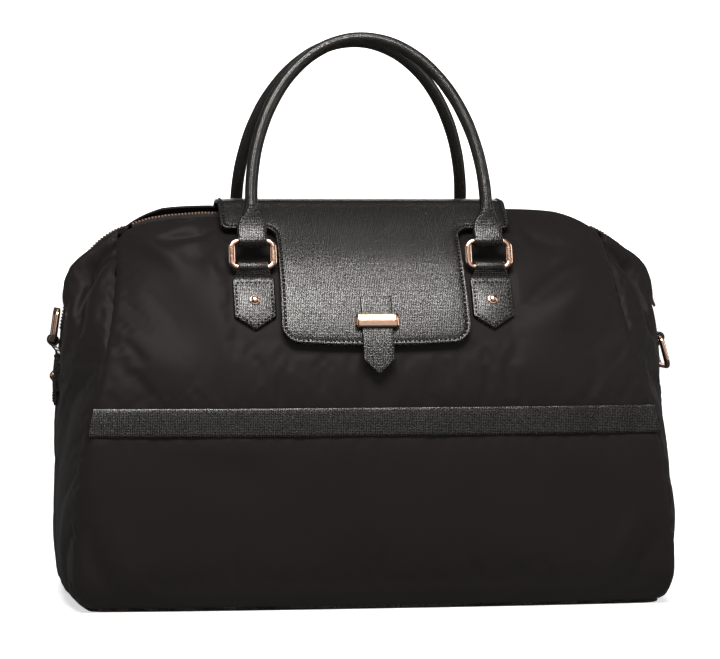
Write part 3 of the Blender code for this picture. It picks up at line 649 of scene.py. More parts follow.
def repeated(shape_and_faces, centres, first, second, third):
    """Copies of a small shape, each on its own centre and along its own three scaled axes."""
    shape, faces = shape_and_faces
    points = (centres[:, None] + shape[None, :, 0, None] * first[:, None]
              + shape[None, :, 1, None] * second[:, None] + shape[None, :, 2, None] * third[:, None])
    size, count = len(shape), len(centres)
    copies = [tuple(i + k * size for i in face) for k in range(count) for face in faces]
    return points.reshape(-1, 3), copies, np.zeros((count * size, 2))


def stitches_on(path, place, height, pitch, length, thick, closed=False):
    """Thread segments along a flat path, laid on a surface by place(points, lift)."""
    if closed:
        path = np.concatenate((path, path[:1]))
    run = run_along(path)
    count = max(2, int(run[-1] / pitch))
    distances = (np.arange(count) + 0.5) * run[-1] / count
    middles = spots_along(path, run, distances)
    lifts = height(middles) if callable(height) else np.full(count, height)
    tails, heads = (place(spots_along(path, run, distances + share * length), lifts)
                    for share in (-0.5, 0.5))
    above = place(middles, lifts + 0.001)
    centre = 0.5 * (tails + heads)
    along = heads - tails
    up = unit(above - centre)
    side = unit(np.cross(up, along)) * thick
    up = unit(np.cross(along, side)) * thick * 0.8
    return repeated(STITCH, centre, along, side, up)


def add_stitches(name, parts, body):
    points, faces, uv = join_arrays(parts)
    place_piece(add_mesh(name, points, faces, THREAD, uv, 80.0), body, "leather")


# ---------------------------------------------------------------- nylon shell
SIM_PITCH, SIM_FRAMES = 0.0055, 18
PRESSURE = 5.0
SAG, SLIDE = 0.0007, 0.0015     # how far hung cloth may sink inward and creep along its surface


def hanging(grid, pinned, grow, pressure, limit):
    """The grid after a short cloth simulation, cut larger than its pinned frame so that it puckers."""
    rows, columns = grid.shape[:2]
    mesh = bpy.data.meshes.new("cloth")
    mesh.from_pydata([tuple(p) for p in grid.reshape(-1, 3)], [],
                     [tuple(map(int, f)) for f in grid_faces(rows, columns)])
    item = link("cloth", mesh)
    group = item.vertex_groups.new(name="pins")
    group.add([int(i) for i in np.flatnonzero(pinned.ravel())], 1.0, 'REPLACE')
    cloth = item.modifiers.new("cloth", 'CLOTH')
    settings = cloth.settings
    settings.quality = 5
    settings.mass = 0.15
    settings.tension_stiffness = settings.compression_stiffness = 20.0
    settings.bending_stiffness = 0.35
    settings.shrink_min = -grow
    settings.vertex_group_mass = "pins"
    settings.use_pressure = True
    settings.uniform_pressure_force = pressure
    settings.effector_weights.gravity = 0.06
    cloth.collision_settings.use_collision = False
    cloth.point_cache.frame_start, cloth.point_cache.frame_end = 1, SIM_FRAMES
    scene = bpy.context.scene
    for number in range(1, SIM_FRAMES + 1):
        scene.frame_set(number)
    graph = bpy.context.evaluated_depsgraph_get()
    moved = np.empty(rows * columns * 3)
    item.evaluated_get(graph).data.vertices.foreach_get("co", moved)
    bpy.data.objects.remove(item, do_unlink=True)
    scene.frame_set(1)
    shift = moved.reshape(grid.shape) - grid
    out = grid_normals(grid) * math.copysign(1.0, pressure)
    lifted = (shift * out).sum(axis=2, keepdims=True)
    held = np.where(lifted > 0.0, limit * np.tanh(lifted / limit), SAG * np.tanh(lifted / SAG))
    along = shift - out * lifted
    length = np.linalg.norm(along, axis=2, keepdims=True)
    return grid + out * held + along * np.minimum(1.0, SLIDE / np.maximum(length, 1e-9))


def finer(grid, times):
    """A Catmull-Rom refinement of a grid of points in both directions."""
    rows, columns = grid.shape[:2]
    along = smooth(grid.reshape(rows, -1), np.linspace(0.0, rows - 1.0, (rows - 1) * times + 1))
    along = along.reshape(-1, columns, 3).transpose(1, 0, 2)
    across = smooth(along.reshape(columns, -1), np.linspace(0.0, columns - 1.0, (columns - 1) * times + 1))
    return across.reshape(across.shape[0], -1, 3).transpose(1, 0, 2)


def fold_lift(a, b, folds):
    """Soft ridges (and valleys, with a negative lift) along straight lines: (a0, b0, a1, b1, width, lift)."""
    total = np.zeros_like(a)
    for a0, b0, a1, b1, width, height in folds:
        run_a, run_b = a1 - a0, b1 - b0
        t = ((a - a0) * run_a + (b - b0) * run_b) / (run_a ** 2 + run_b ** 2)
        held = np.clip(t, 0.0, 1.0)
        away = (a - a0 - held * run_a) ** 2 + (b - b0 - held * run_b) ** 2
        fade = 0.25 + 0.75 * np.sin(math.pi * np.clip(t * 0.9 + 0.05, 0.0, 1.0))
        total += height * fade * np.exp(-away / width ** 2)
    return total


def ripple(run, away, reach, strength, seed):
    """Small gathers beside a seam: run is the distance along it, away the distance from it."""
    def wave_of(distance, length, phase):
        return np.sin(distance * 2.0 * math.pi / length + phase * seed)
    drift = run + 0.004 * wave_of(run, 0.0470, 3.1)
    wave = wave_of(drift, 0.0230, 1.0) + 0.7 * wave_of(drift, 0.0113, 2.3) + 0.8 * wave_of(drift, 0.0410, 1.7)
    wave *= 0.55 + 0.45 * wave_of(run, 0.0970, 2.0)
    return strength * wave * np.exp(-away / reach) * np.clip(away / 0.002, 0.0, 1.0)


# Folds of the panels, seen from the front: (x, height) to (x, height), width, lift.
FRONT_FOLDS = [
    (-0.121, 0.2945, -0.166, 0.2870, 0.0040, -0.0044), (-0.128, 0.2890, -0.160, 0.2790, 0.0070, 0.0030),
    (-0.126, 0.3010, -0.158, 0.2960, 0.0045, 0.0024), (-0.120, 0.2550, -0.136, 0.2800, 0.0070, 0.0026),
    (-0.186, 0.2900, -0.150, 0.2700, 0.0070, 0.0030), (-0.150, 0.2780, -0.120, 0.2720, 0.0080, -0.0016),
    (-0.178, 0.2640, -0.150, 0.2300, 0.0180, -0.0022), (-0.140, 0.2500, -0.080, 0.2150, 0.0280, 0.0018),
    (0.186, 0.2900, 0.150, 0.2680, 0.0080, 0.0036), (0.180, 0.2780, 0.122, 0.2380, 0.0120, -0.0042),
    (0.190, 0.2650, 0.124, 0.2200, 0.0160, 0.0040), (-0.190, 0.2500, -0.130, 0.1950, 0.0260, -0.0036),
    (-0.196, 0.2250, -0.150, 0.1800, 0.0160, 0.0026),
    (0.184, 0.2600, 0.150, 0.2200, 0.0160, 0.0020), (0.122, 0.2920, 0.170, 0.2800, 0.0060, -0.0022),
    (0.195, 0.2400, 0.175, 0.1950, 0.0140, -0.0020), (-0.060, 0.1900, 0.100, 0.1850, 0.0260, -0.0012),
    (0.205, 0.0700, 0.180, 0.0250, 0.0090, 0.0030), (0.220, 0.0550, 0.200, 0.0150, 0.0070, -0.0026),
    (-0.215, 0.0800, -0.190, 0.0200, 0.0120, 0.0024), (-0.225, 0.0500, -0.205, 0.0120, 0.0080, -0.0022),
    (-0.100, 0.0700, 0.120, 0.0620, 0.0300, 0.0016), (-0.180, 0.1200, -0.080, 0.1050, 0.0180, -0.0012)]
BACK_FOLDS = [
    (0.186, 0.2900, 0.140, 0.2700, 0.0080, 0.0032), (0.172, 0.2750, 0.120, 0.2600, 0.0090, -0.0022),
    (-0.186, 0.2900, -0.140, 0.2680, 0.0080, 0.0030), (-0.176, 0.2640, -0.140, 0.2350, 0.0140, -0.0022),
    (0.190, 0.2400, 0.160, 0.2000, 0.0160, 0.0018), (-0.100, 0.2100, 0.080, 0.1950, 0.0280, -0.0014),
    (-0.215, 0.0800, -0.185, 0.0250, 0.0120, 0.0026), (0.215, 0.0700, 0.190, 0.0200, 0.0100, -0.0022),
    (-0.090, 0.0650, 0.110, 0.0720, 0.0300, 0.0016)]
# Folds of the gussets, seen from the side: (depth, height) to (depth, height), width, lift.
SIDE_FOLDS = [
    (-0.021, 0.2860, -0.056, 0.2150, 0.0065, -0.0120), (-0.024, 0.2820, -0.042, 0.2450, 0.0045, -0.0050),
    (-0.030, 0.2750, -0.078, 0.2050, 0.0060, 0.0030),
    (0.021, 0.2860, 0.056, 0.2150, 0.0075, -0.0120), (0.030, 0.2750, 0.078, 0.2050, 0.0060, 0.0030),
    (-0.0185, 0.2940, -0.0210, 0.2370, 0.0055, 0.0080), (0.0185, 0.2940, 0.0210, 0.2370, 0.0055, 0.0080),
    (-0.080, 0.1900, -0.050, 0.1200, 0.0140, -0.0026), (0.075, 0.1900, 0.050, 0.1250, 0.0140, -0.0026),
    (-0.095, 0.0900, -0.060, 0.0300, 0.0130, 0.0028), (0.090, 0.0850, 0.060, 0.0300, 0.0130, 0.0024),
    (-0.040, 0.1050, 0.040, 0.0950, 0.0160, -0.0018)]

RIM_ROWS = 0.8
BACK_RIM, FRONT_RIM = 0.0058, -0.0040
RIGHT_BACK_RIM, RIGHT_FRONT_RIM = 0.0010, 0.0030
SEAM_DEPTH, SEAM_WIDTH = 0.0021, 0.0022


def free_of_hardware(x, z, face):
    """0 where leather is sewn over a panel, rising to 1 where its cloth hangs free."""
    reach = np.abs(x)
    away = np.maximum(0.134 - z, z - 0.160)
    away = np.minimum(away, np.maximum.reduce([np.abs(reach - HANDLE_X) - 0.019, 0.208 - z, z - 0.282]))
    away = np.minimum(away, np.maximum(reach - 0.120, (0.290 if face < 0.0 else 0.276) - z))
    if face < 0.0:
        away = np.minimum(away, np.maximum(reach - 0.077, 0.200 - z))
        away = np.minimum(away, np.maximum(reach - 0.012, 0.150 - z) * 0.4)
    return np.clip(away / 0.012, 0.0, 1.0)


def free_of_zip(y, z):
    """0 under a gusset's zip and its chape, rising to 1 where its cloth hangs free."""
    reach = np.abs(y)
    away = np.minimum(np.maximum(reach - ZIP_BED, 0.200 - z),
                      np.maximum.reduce([reach - 0.0175, 0.148 - z, z - 0.222]))
    return np.clip(away / 0.009, 0.0, 1.0)


def cloth_rows(surface, start, end):
    """Rows at an even true pitch up a surface's middle, and the length that they cover."""
    ruler = Ruler(surface, 0.0, start, end)
    length = ruler.length[-1]
    return ruler.row(np.linspace(0.0, length, int(length / SIM_PITCH) + 2)), length


def hung_cloth(surface, a, rows, folds, free_at, outward, sim):
    """The outside of a folded and hung sheet, its outward normals and its rows after refining.

    a is the place across the surface of each grid point; free_at(a, height) is 0 where the
    cloth is sewn down; sim holds the cloth's spare size, its pressure and its furthest swell.
    """
    row = np.broadcast_to(rows[:, None], a.shape)
    height = surface(a, row)[..., 2]
    free = free_at(a, height)
    grid = lift(surface, a, row, fold_lift(a, height, folds) * free)
    pinned = free == 0.0
    pinned[[0, -1]] = True
    pinned[:, [0, -1]] = True
    grid = finer(hanging(grid, pinned, *sim), 3)
    out = grid_normals(grid)
    out *= math.copysign(1.0, float((out * np.array(outward)).sum()))
    rows = smooth(rows[:, None], np.linspace(0.0, len(rows) - 1.0, grid.shape[0]))[:, 0]
    return grid, out, rows


def seam_move(length, count, away, seed):
    """The lift beside a seam: gathers, and the groove of the seam itself."""
    run = length * np.linspace(0.0, 1.0, count)[:, None]
    return ripple(run, away, 0.009, 0.00030, seed) - SEAM_DEPTH * np.exp(-(away / SEAM_WIDTH) ** 2)


def panel_grid(surface, face, start, end, folds, seed):
    """The outside of a panel between two rows, folded, hung and refined."""
    rows, length = cloth_rows(surface, start, end)
    x = smooth(SEAM, rows)[:, 0][:, None] * np.linspace(-1.0, 1.0, int(0.45 / SIM_PITCH))[None]
    grid, out, rows = hung_cloth(surface, x, rows, folds, lambda x, z: free_of_hardware(x, z, face),
                                 (0.0, face, 0.0), (0.007, -face * PRESSURE, 0.0028))
    half = smooth(SEAM, rows)[:, 0][:, None]
    away = half - np.abs(half * np.linspace(-1.0, 1.0, grid.shape[1])[None])
    move = seam_move(length, grid.shape[0], away, seed)
    reach = np.abs(grid[..., 0])
    beside_flap = np.clip((reach - 0.070) / 0.050, 0.0, 1.0) * np.clip((0.200 - reach) / 0.040, 0.0, 1.0)
    rim = np.exp(-((LAST_ROW - rows) / RIM_ROWS) ** 2)[:, None] * beside_flap
    left = np.clip(0.5 - grid[..., 0] / 0.1, 0.0, 1.0)
    left_rim, right_rim = (BACK_RIM, RIGHT_BACK_RIM) if face > 0.0 else (FRONT_RIM, RIGHT_FRONT_RIM)
    grid[..., 2] += rim * (right_rim + (left_rim - right_rim) * left)
    return grid + out * move[..., None], out


def gusset_grid(surface, side, start, end, half_start, half_end, seed):
    """The outside of part of a gusset, between two rows and two shares of its half depth."""
    rows, length = cloth_rows(surface, start, end)
    y = smooth(SEAM, rows)[:, 1][:, None] * np.linspace(half_start, half_end, 22)[None]
    grid, out, rows = hung_cloth(surface, y, rows, SIDE_FOLDS, free_of_zip, (side, 0.0, 0.0),
                                 (0.012, side * PRESSURE, 0.0030))
    half = smooth(SEAM, rows)[:, 1][:, None]
    away = half * (1.0 - np.abs(np.linspace(half_start, half_end, grid.shape[1])))[None]
    return grid + out * seam_move(length, grid.shape[0], away, seed)[..., None], out


def bend_with_mouth(item, slot, *nodes):
    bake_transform(item)
    if nodes:
        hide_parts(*nodes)


def add_cloth(name, grid_and_normals, bends, *nodes):
    grid, out = grid_and_normals
    item = add_sheet(f"{name}_cloth", grid, grid - out * NYLON, NYLON_CLOTH)
    if bends:
        bend_with_mouth(item, "nylon", *nodes)
    else:
        place_piece(item, "bag", "nylon", *nodes)


def add_shell():
    parting, top = BAND_ROW - 0.45, LAST_ROW - 0.02
    for name, surface, face in FACES:
        folds = FRONT_FOLDS if face < 0.0 else BACK_FOLDS
        for part, start, end, seed in (("lower", 0.0, parting, 1.3), ("upper", parting, top, 0.4)):
            add_cloth(f"{name}_{part}", panel_grid(surface, face, start, end, folds, seed + face),
                      (name, part) == ("front", "upper"), f"{name}_{part}_panel")
    for name, surface, side in SIDES:
        add_cloth(f"gusset_{name}_rear", gusset_grid(surface, side, 0.0, top, 0.0, 1.0, 2.1 + side), False,
                  f"gusset_{name}")
        add_cloth(f"gusset_{name}_front", gusset_grid(surface, side, 0.0, top, -1.0, 0.0, 0.7 + side), True)


# ---------------------------------------------------------------- bands, base, lining
BAND_MIDDLE, BAND_HALF = 0.1474, 0.0112
# The band's face across its half width: (share, lift).
BAND_FACE = np.array([(0.0, 0.0020), (0.3, 0.0020), (0.6, 0.0021), (0.8, 0.0022), (0.93, 0.0021),
                      (0.985, 0.0017), (1.0, 0.0012)])


def add_bands():
    shares = np.concatenate((-BAND_FACE[:0:-1, 0], BAND_FACE[:, 0]))
    lifts = np.concatenate((BAND_FACE[:0:-1, 1], BAND_FACE[:, 1]))
    for name, surface, face in FACES:
        middle = row_at(PANEL_MID, 1, BAND_MIDDLE)
        ruler = Ruler(surface, 0.0, middle - 1.0, middle + 1.0)
        rows = ruler.row(ruler.distance(middle) + BAND_HALF * shares)
        wide = (smooth(SEAM, rows)[:, 0] - 0.0006)[:, None] * np.linspace(-1.0, 1.0, 221)[None]
        row = np.broadcast_to(rows[:, None], wide.shape)
        wobble = 0.00035 * np.sin(wide * 61.0 + face) + 0.0002 * np.sin(wide * 173.0)
        outer = lift(surface, wide, row, lifts[:, None] + wobble)
        inner = lift(surface, wide, row, -0.0012)
        place_piece(add_sheet(f"{name}_band_leather", outer, inner, SAFFIANO), "bag", "leather",
                    f"{name}_band")


BASE_SIDE = 14                  # points along each side of the base


def base_ring(scale, height):
    share = np.linspace(-0.97, 0.97, BASE_SIDE)
    half_width, half_depth = SEAM[0][:2]
    points = np.concatenate((front(half_width * share, 0.0), right_side(half_depth * share, 0.0),
                             back(-half_width * share, 0.0), left_side(-half_depth * share, 0.0)))
    points[:, :2] *= scale
    points[:, 2] = height
    return points


def add_base():
    levels = ((0.5, 0.0), (0.85, 0.0), (0.965, 0.0), (0.985, 0.0004), (0.995, 0.0013), (0.998, 0.0026),
              (0.998, 0.0034))
    points = np.concatenate([base_ring(scale, height) for scale, height in levels])
    faces = tube_faces(len(levels), 4 * BASE_SIDE)
    faces[-2:] = [tuple(reversed(cap)) for cap in faces[-2:]]
    item = add_mesh("base_leather", points, faces, SAFFIANO, points[:, :2], 50.0)
    place_piece(item, "bag", "leather", "base_panel")


LINING_FLOOR, LINING_THICK = 0.0072, 0.0008
LINING_SIDES = 128


def lining_point(angle, height, inset_by):
    """A point of the lining's wall, a rounded box inside the shell, by its angle round the bag."""
    half_width, half_depth = smooth(SEAM, row_at(PANEL_MID, 1, height))[:2]
    across, along = math.cos(angle), math.sin(angle)
    return (math.copysign(abs(across) ** 0.25, across) * (half_width - 0.0078 - inset_by),
            math.copysign(abs(along) ** 0.25, along) * (half_depth - 0.0063 - inset_by), height)


def lining_wall(inset_by):
    """Rings of points: a few across the floor, then up the wall to its sloping rim."""
    angles = turns(LINING_SIDES)
    bottom = LINING_FLOOR + inset_by
    rims = 0.153 + 0.115 * np.clip(np.sin(angles) + 0.55, 0.0, 1.0)
    rings = []
    for level in np.linspace(0.0, 1.0, 26) ** 0.9:
        heights = bottom + (rims - bottom) * level
        ring = np.array([lining_point(a, h, inset_by) for a, h in zip(angles, heights)])
        sway = 0.0011 * np.sin(angles * 17.0 + 5.0 * level) * math.sin(math.pi * level)
        ring[:, :2] *= (1.0 - np.abs(sway) / 0.15)[:, None]
        rings.append(ring)
    middle = rings[0].mean(0)
    return np.array([middle + (rings[0] - middle) * share for share in (0.12, 0.45, 0.8)] + rings)


def add_lining():
    """An open bag of cloth inside the bag: low at the front, high at the back."""
    walls = [lining_wall(inset_by) for inset_by in (0.0, LINING_THICK)]
    rows, count = walls[0].shape[:2]
    size = rows * count
    faces = [tuple(f) for f in grid_faces(rows, count, wrap=True)]
    faces += [tuple(reversed(range(count)))]
    faces += [tuple(int(i) + size for i in f) for f in grid_faces(rows, count, wrap=True, flip=True)]
    faces += [tuple(i + size for i in range(count))]
    last = (rows - 1) * count
    for k in range(count):
        j = (k + 1) % count
        faces.append((last + k, last + j, size + last + j, size + last + k))
    uv = np.concatenate([metric_uv(np.concatenate((wall, wall[:, :1]), 1))[:, :-1].reshape(-1, 2)
                         for wall in walls])
    place_piece(add_mesh("lining_cloth", np.concatenate(walls).reshape(-1, 3), faces, LINING_CLOTH, uv),
                "bag", "lining", "lining")


def add_mouth_lining():
    """The lining of the opening front half, which hangs clear of the panel's folds below its top edge."""
    low_row, top_row = 5.6, 10.2
    rows = np.linspace(low_row, top_row, 30)
    x = (smooth(SEAM, rows)[:, 0] - 0.028)[:, None] * np.linspace(-1.0, 1.0, 61)[None]
    row = np.broadcast_to(rows[:, None], x.shape)
    low = -NYLON - 4.0 * GAP - 0.0050 * np.clip((top_row - row) / 1.5, 0.0, 1.0)
    outer = lift(front, x, row, low)
    inner = lift(front, x, row, low - LINING_THICK - 0.0006 * np.abs(np.sin(x * 130.0)))
    item = add_sheet("mouth_front_lining_cloth", outer, inner, LINING_CLOTH)
    bend_with_mouth(item, "lining", "mouth_front_lining")


# ---------------------------------------------------------------- zip
def zip_bed(surface, y, height, raised):
    """Points on a gusset's zip strip, by height along its middle."""
    rows = np.linspace(BAND_ROW, LAST_ROW, 601)
    return lift(surface, y, np.interp(height, smooth(SIDE_MID, rows)[:, 1], rows), raised)


def tooth():
    """One zip tooth, a unit long across the zip, with chamfered edges."""
    points = []
    for t, grow in ((-0.5, 0.72), (-0.4, 1.0), (0.36, 1.0), (0.5, 0.62)):
        for a, b in ((-1, -0.6), (-0.6, -1), (0.6, -1), (1, -0.6), (1, 0.6), (0.6, 1), (-0.6, 1), (-1, 0.6)):
            points.append((t, 0.5 * a * grow, 0.5 * b * grow))
    return np.array(points), tube_faces(4, 8)


ZIP_FOOT, ZIP_TOP = 0.2165, 0.2992
CLOSED = 0.00005                # from the middle to the teeth where the zip is closed
TOOTH = tooth()
TOOTH_PITCH, TOOTH_WIDE, TOOTH_TALL = 0.0027, 0.00145, 0.0018


def teeth_between(path, target, up_hint):
    """Teeth at an even pitch along a path, each pointing at the matching place of a second path."""
    run = run_along(path)
    spots = (np.arange(int(run[-1] / TOOTH_PITCH)) + 0.5) * TOOTH_PITCH
    near, far = (spots_along(side, run, spots) for side in (path, target))
    along = unit(np.gradient(near, axis=0))
    across = unit(near - far)
    up = unit(np.cross(across, along))
    up *= np.sign((up * up_hint).sum(1, keepdims=True))
    reach = np.linalg.norm(near - far, axis=1).mean()
    return repeated(TOOTH, 0.5 * (near + far), across * reach, along * TOOTH_WIDE, up * TOOTH_TALL)


def add_teeth(name, near, far, up_hint):
    points, faces, uv = teeth_between(near, far, up_hint)
    return add_mesh(name, points, faces, TEETH_GOLD, uv, 30.0)


def add_mouth_zip():
    """The teeth and tapes along the mouth's ridge, one row on each side."""
    x = np.linspace(-RIDGE[-1][0], RIDGE[-1][0], 241)
    height = ridge_height(x)
    share = np.array((0.0, 0.2, 0.5, 0.8, 1.0))
    for name, surface, face in FACES:
        body = "mouth_front" if name == "front" else "bag"
        inner, outer = (np.stack((x, np.full_like(x, face * y), height), 1) for y in (TEETH_NEAR, TEETH_FAR))
        place_piece(add_teeth(f"teeth_{name}", inner, outer, UP), body, "rose_gold", f"zip_teeth_{name}")
        edge = surface(x, np.full_like(x, 10.75))
        edge[:, 2] -= 0.0060 if face < 0.0 else 0.0010
        edge[:, 1] += face * 0.0006
        start = np.stack((x, np.full_like(x, face * (TEETH_FAR - 0.0008)), height - 0.0001), 1)
        top = start[None] + (edge - start)[None] * share[:, None, None]
        top[:, :, 2] += (0.0011 * np.sin(math.pi * share))[:, None]
        item = add_sheet(f"tape_{name}", top, top - UP * 0.0006, ZIP_TAPE)
        place_piece(item, body, "zip_tape", f"zip_tape_{name}")


def add_gusset_zips():
    """The zip's two runs down the gussets, closed at the foot and parting towards the mouth."""
    rises = np.linspace(ZIP_FOOT, ZIP_TOP, 90)
    share = np.array((0.0, 0.25, 0.5, 0.75, 1.0))[:, None]
    for name, surface, side in SIDES:
        parts_at = SLIDER_HEIGHT if name == "right" else ZIP_FOOT
        opened = np.clip((rises - parts_at) / (0.3000 - SLIDER_HEIGHT), 0.0, 1.0)
        start = CLOSED + (TEETH_NEAR - CLOSED) * opened ** 0.7
        tape_start = start + 0.0018
        wide = tape_start[None] + (MOUTH_HALF + 0.0006 - tape_start)[None] * share
        for half, face in (("front", -1.0), ("rear", 1.0)):
            inner = zip_bed(surface, face * start, rises, 0.0011)
            outer = zip_bed(surface, face * (start + TEETH_FAR - TEETH_NEAR), rises, 0.0011)
            teeth = add_teeth(f"teeth_{half}_{name}", inner, outer, np.array((side, 0.0, 0.5)))
            top, under = (np.array([zip_bed(surface, face * row, rises, raised) for row in wide])
                          for raised in (0.0012, 0.0004))
            tape = add_sheet(f"tape_{half}_{name}", top, under, ZIP_TAPE)
            if half == "front":
                bend_with_mouth(teeth, "rose_gold")
                bend_with_mouth(tape, "zip_tape")
            else:
                place_piece(teeth, "bag", "rose_gold")
                place_piece(tape, "bag", "zip_tape", f"zip_end_{name}")


def run_frame(height_on_zip):
    """A frame on the right gusset's zip: Z out of the gusset, X up the zip, Y along -Y."""
    foot_x = float(smooth(SIDE_MID, row_at(SIDE_MID, 1, height_on_zip))[0])
    up = Vector((-RUN_SLOPE, 0.0, 1.0)).normalized()
    out = Vector((1.0, 0.0, RUN_SLOPE)).normalized()
    place = Matrix((up, out.cross(up), out)).transposed().to_4x4()
    place.translation = Vector((foot_x, 0.0, height_on_zip))
    return place


def moved(points, place):
    matrix = np.array(place)
    return points @ matrix[:3, :3].T + matrix[:3, 3]


def plate_arrays(outline, hole, low, high, radius, place):
    """A flat plate with rounded rims, cut to an outline, with an optional hole."""
    levels = [(radius, low), (0.3 * radius, low + 0.3 * radius), (0.0, low + radius),
              (0.0, high - radius), (0.3 * radius, high - 0.3 * radius), (radius, high)]

    def shrunk(loop, amount):
        along = np.roll(loop, -1, 0) - np.roll(loop, 1, 0)
        return loop + unit(np.stack((-along[:, 1], along[:, 0]), 1)) * amount
    loops = [np.concatenate((shrunk(outline, inward), np.full((len(outline), 1), height)), 1)
             for inward, height in levels]
    count = len(outline)
    points = np.concatenate(loops)
    if hole is None:
        return moved(points, place), tube_faces(len(loops), count), np.zeros((len(points), 2))
    faces = [tuple(f) for f in grid_faces(len(loops), count, wrap=True)]
    inner = [np.concatenate((shrunk(hole, -inward), np.full((len(hole), 1), height)), 1)
             for inward, height in levels]
    base = len(points)
    points = np.concatenate([points] + inner)
    ring = len(hole)
    faces += [tuple(int(i) + base for i in f) for f in grid_faces(len(loops), ring, wrap=True, flip=True)]
    last = len(loops) - 1
    for k in range(count):
        j = (k + 1) % count
        faces.append((base + k, base + j, j, k))
        faces.append((last * count + k, last * count + j, base + last * ring + j, base + last * ring + k))
    return moved(points, place), faces, np.zeros((len(points), 2))


def resampled(outline, count):
    closed = np.concatenate((outline, outline[:1]))
    run = run_along(closed)
    return spots_along(closed, run, np.linspace(0.0, run[-1], count, endpoint=False))


def box_outline(low_x, high_x, half_y, radius):
    return rounded([(low_x, -half_y, radius), (high_x, -half_y, radius),
                    (high_x, half_y, radius), (low_x, half_y, radius)], 0.0006)


def rod_arrays(radius, half, place, sides):
    """A rod along the place's own Y axis, with rounded rims."""
    rim = 0.25 * radius
    profile = [(radius - rim, -half), (radius - 0.3 * rim, -half + 0.3 * rim), (radius, -half + rim),
               (radius, half - rim), (radius - 0.3 * rim, half - 0.3 * rim), (radius - rim, half)]
    angle = turns(sides)
    points = np.concatenate([np.stack((r * np.cos(angle), np.full(sides, y), -r * np.sin(angle)), 1)
                             for r, y in profile])
    return moved(points, place), tube_faces(len(profile), sides), np.zeros((len(points), 2))


BAIL_LIFT = 0.0068


def add_slider():
    place = run_frame(SLIDER_HEIGHT)
    nose = rounded([(-0.0055, -0.0034, 0.0012), (0.0030, -0.0045, 0.0016), (0.0055, -0.0030, 0.0012),
                    (0.0055, 0.0030, 0.0012), (0.0030, 0.0045, 0.0016), (-0.0055, 0.0034, 0.0012)], 0.0006)
    lug_place = place @ Matrix.Rotation(math.radians(90.0), 4, 'X')
    lug = rounded([(-0.0022, 0.0040, 0.0003), (0.0022, 0.0040, 0.0003), (0.0022, 0.0088, 0.0018),
                   (-0.0022, 0.0088, 0.0018)], 0.0003)
    hole = resampled(rounded([(-0.0012, BAIL_LIFT - 0.0012, 0.00115), (0.0012, BAIL_LIFT - 0.0012, 0.00115),
                              (0.0012, BAIL_LIFT + 0.0012, 0.00115),
                              (-0.0012, BAIL_LIFT + 0.0012, 0.00115)], 0.0003), 40)
    parts = [plate_arrays(nose, None, 0.0031, 0.0046, 0.0004, place),
             plate_arrays(resampled(lug, 40), hole, -0.0012, 0.0012, 0.0003, lug_place)]
    points, faces, uv = join_arrays(parts)
    place_piece(add_mesh("slider_metal", points, faces, ROSE_GOLD, uv, 35.0), "slider", "rose_gold",
                "zip_slider")
    at_bail = place @ Matrix.Translation((0.0, 0.0, BAIL_LIFT))
    tag = resampled(rounded([(-0.0140, -0.0036, 0.0026), (0.0010, -0.0040, 0.0010),
                             (0.0010, 0.0040, 0.0010), (-0.0140, 0.0036, 0.0026)], 0.0006), 56)
    window = resampled(box_outline(-0.0035, 0.0025 - 0.0022, 0.0017, 0.0007), 56)
    parts = [plate_arrays(tag, window, -0.0006, 0.0006, 0.00025, at_bail),
             rod_arrays(0.0008, 0.0033, at_bail, 12)]
    points, faces, uv = join_arrays(parts)
    place_piece(add_mesh("pull_metal", points, faces, ROSE_GOLD, uv, 35.0), "pull", "rose_gold", "zip_pull")


# ---------------------------------------------------------------- rings, chapes and rivets
def ring_path(height):
    """The ring's wire, seen flat: its lower bar runs through the origin, along X."""
    r, steps = RING_CORNER, 10
    points = []
    corners = [(RING_HALF - r, r, -90.0), (RING_HALF - r, height - r, 0.0),
               (-RING_HALF + r, height - r, 90.0), (-RING_HALF + r, r, 180.0)]
    for x, z, start in corners:
        for step in range(steps + 1):
            angle = math.radians(start + 90.0 * step / steps)
            points.append((x + r * math.cos(angle), 0.0, z + r * math.sin(angle)))
    return np.array(points)


def add_ring(name, height, place, body, node):
    path = ring_path(height)
    closed = np.concatenate((path[-1:], path, path[:1]))
    along = unit(closed[2:] - closed[:-2])
    side = np.array((0.0, 1.0, 0.0))
    out = np.cross(along, side)
    sides = 20
    shape_a = squared_round(np.cos(turns(sides)), 0.9) * BAR
    shape_b = squared_round(np.sin(turns(sides)), 0.9) * BAR
    flat_sides = (1.0 + 0.30 * np.abs(out[:, 0]) ** 4)[:, None]
    points = (path[:, None] + out[:, None] * (shape_a[None] * flat_sides)[..., None]
              + side[None, None] * shape_b[None, :, None])
    item = add_mesh(name, moved(points.reshape(-1, 3), place), ring_faces(len(path), sides), ROSE_GOLD,
                    None, 60.0)
    place_piece(item, body, "rose_gold", node)


def loop_arrays(half, place):
    """A rolled loop of leather around a bar along the frame's X axis: a short tube with rounded rims."""
    rim = 0.0006
    round_rim = 0.3 * rim
    profile = [(BORE, -half + rim), (BORE + rim, -half), (LOOP - rim, -half),
               (LOOP - round_rim, -half + round_rim), (LOOP, -half + rim), (LOOP, 0.0),
               (LOOP, half - rim), (LOOP - round_rim, half - round_rim), (LOOP - rim, half),
               (BORE + rim, half), (BORE, half - rim), (BORE, 0.0)]
    angle = turns(36)
    points = np.array([(x, r * math.cos(a), r * math.sin(a)) for r, x in profile for a in angle])
    uv = np.array([(x, r * a) for r, x in profile for a in angle])
    return moved(points, place), ring_faces(len(profile), len(angle)), uv


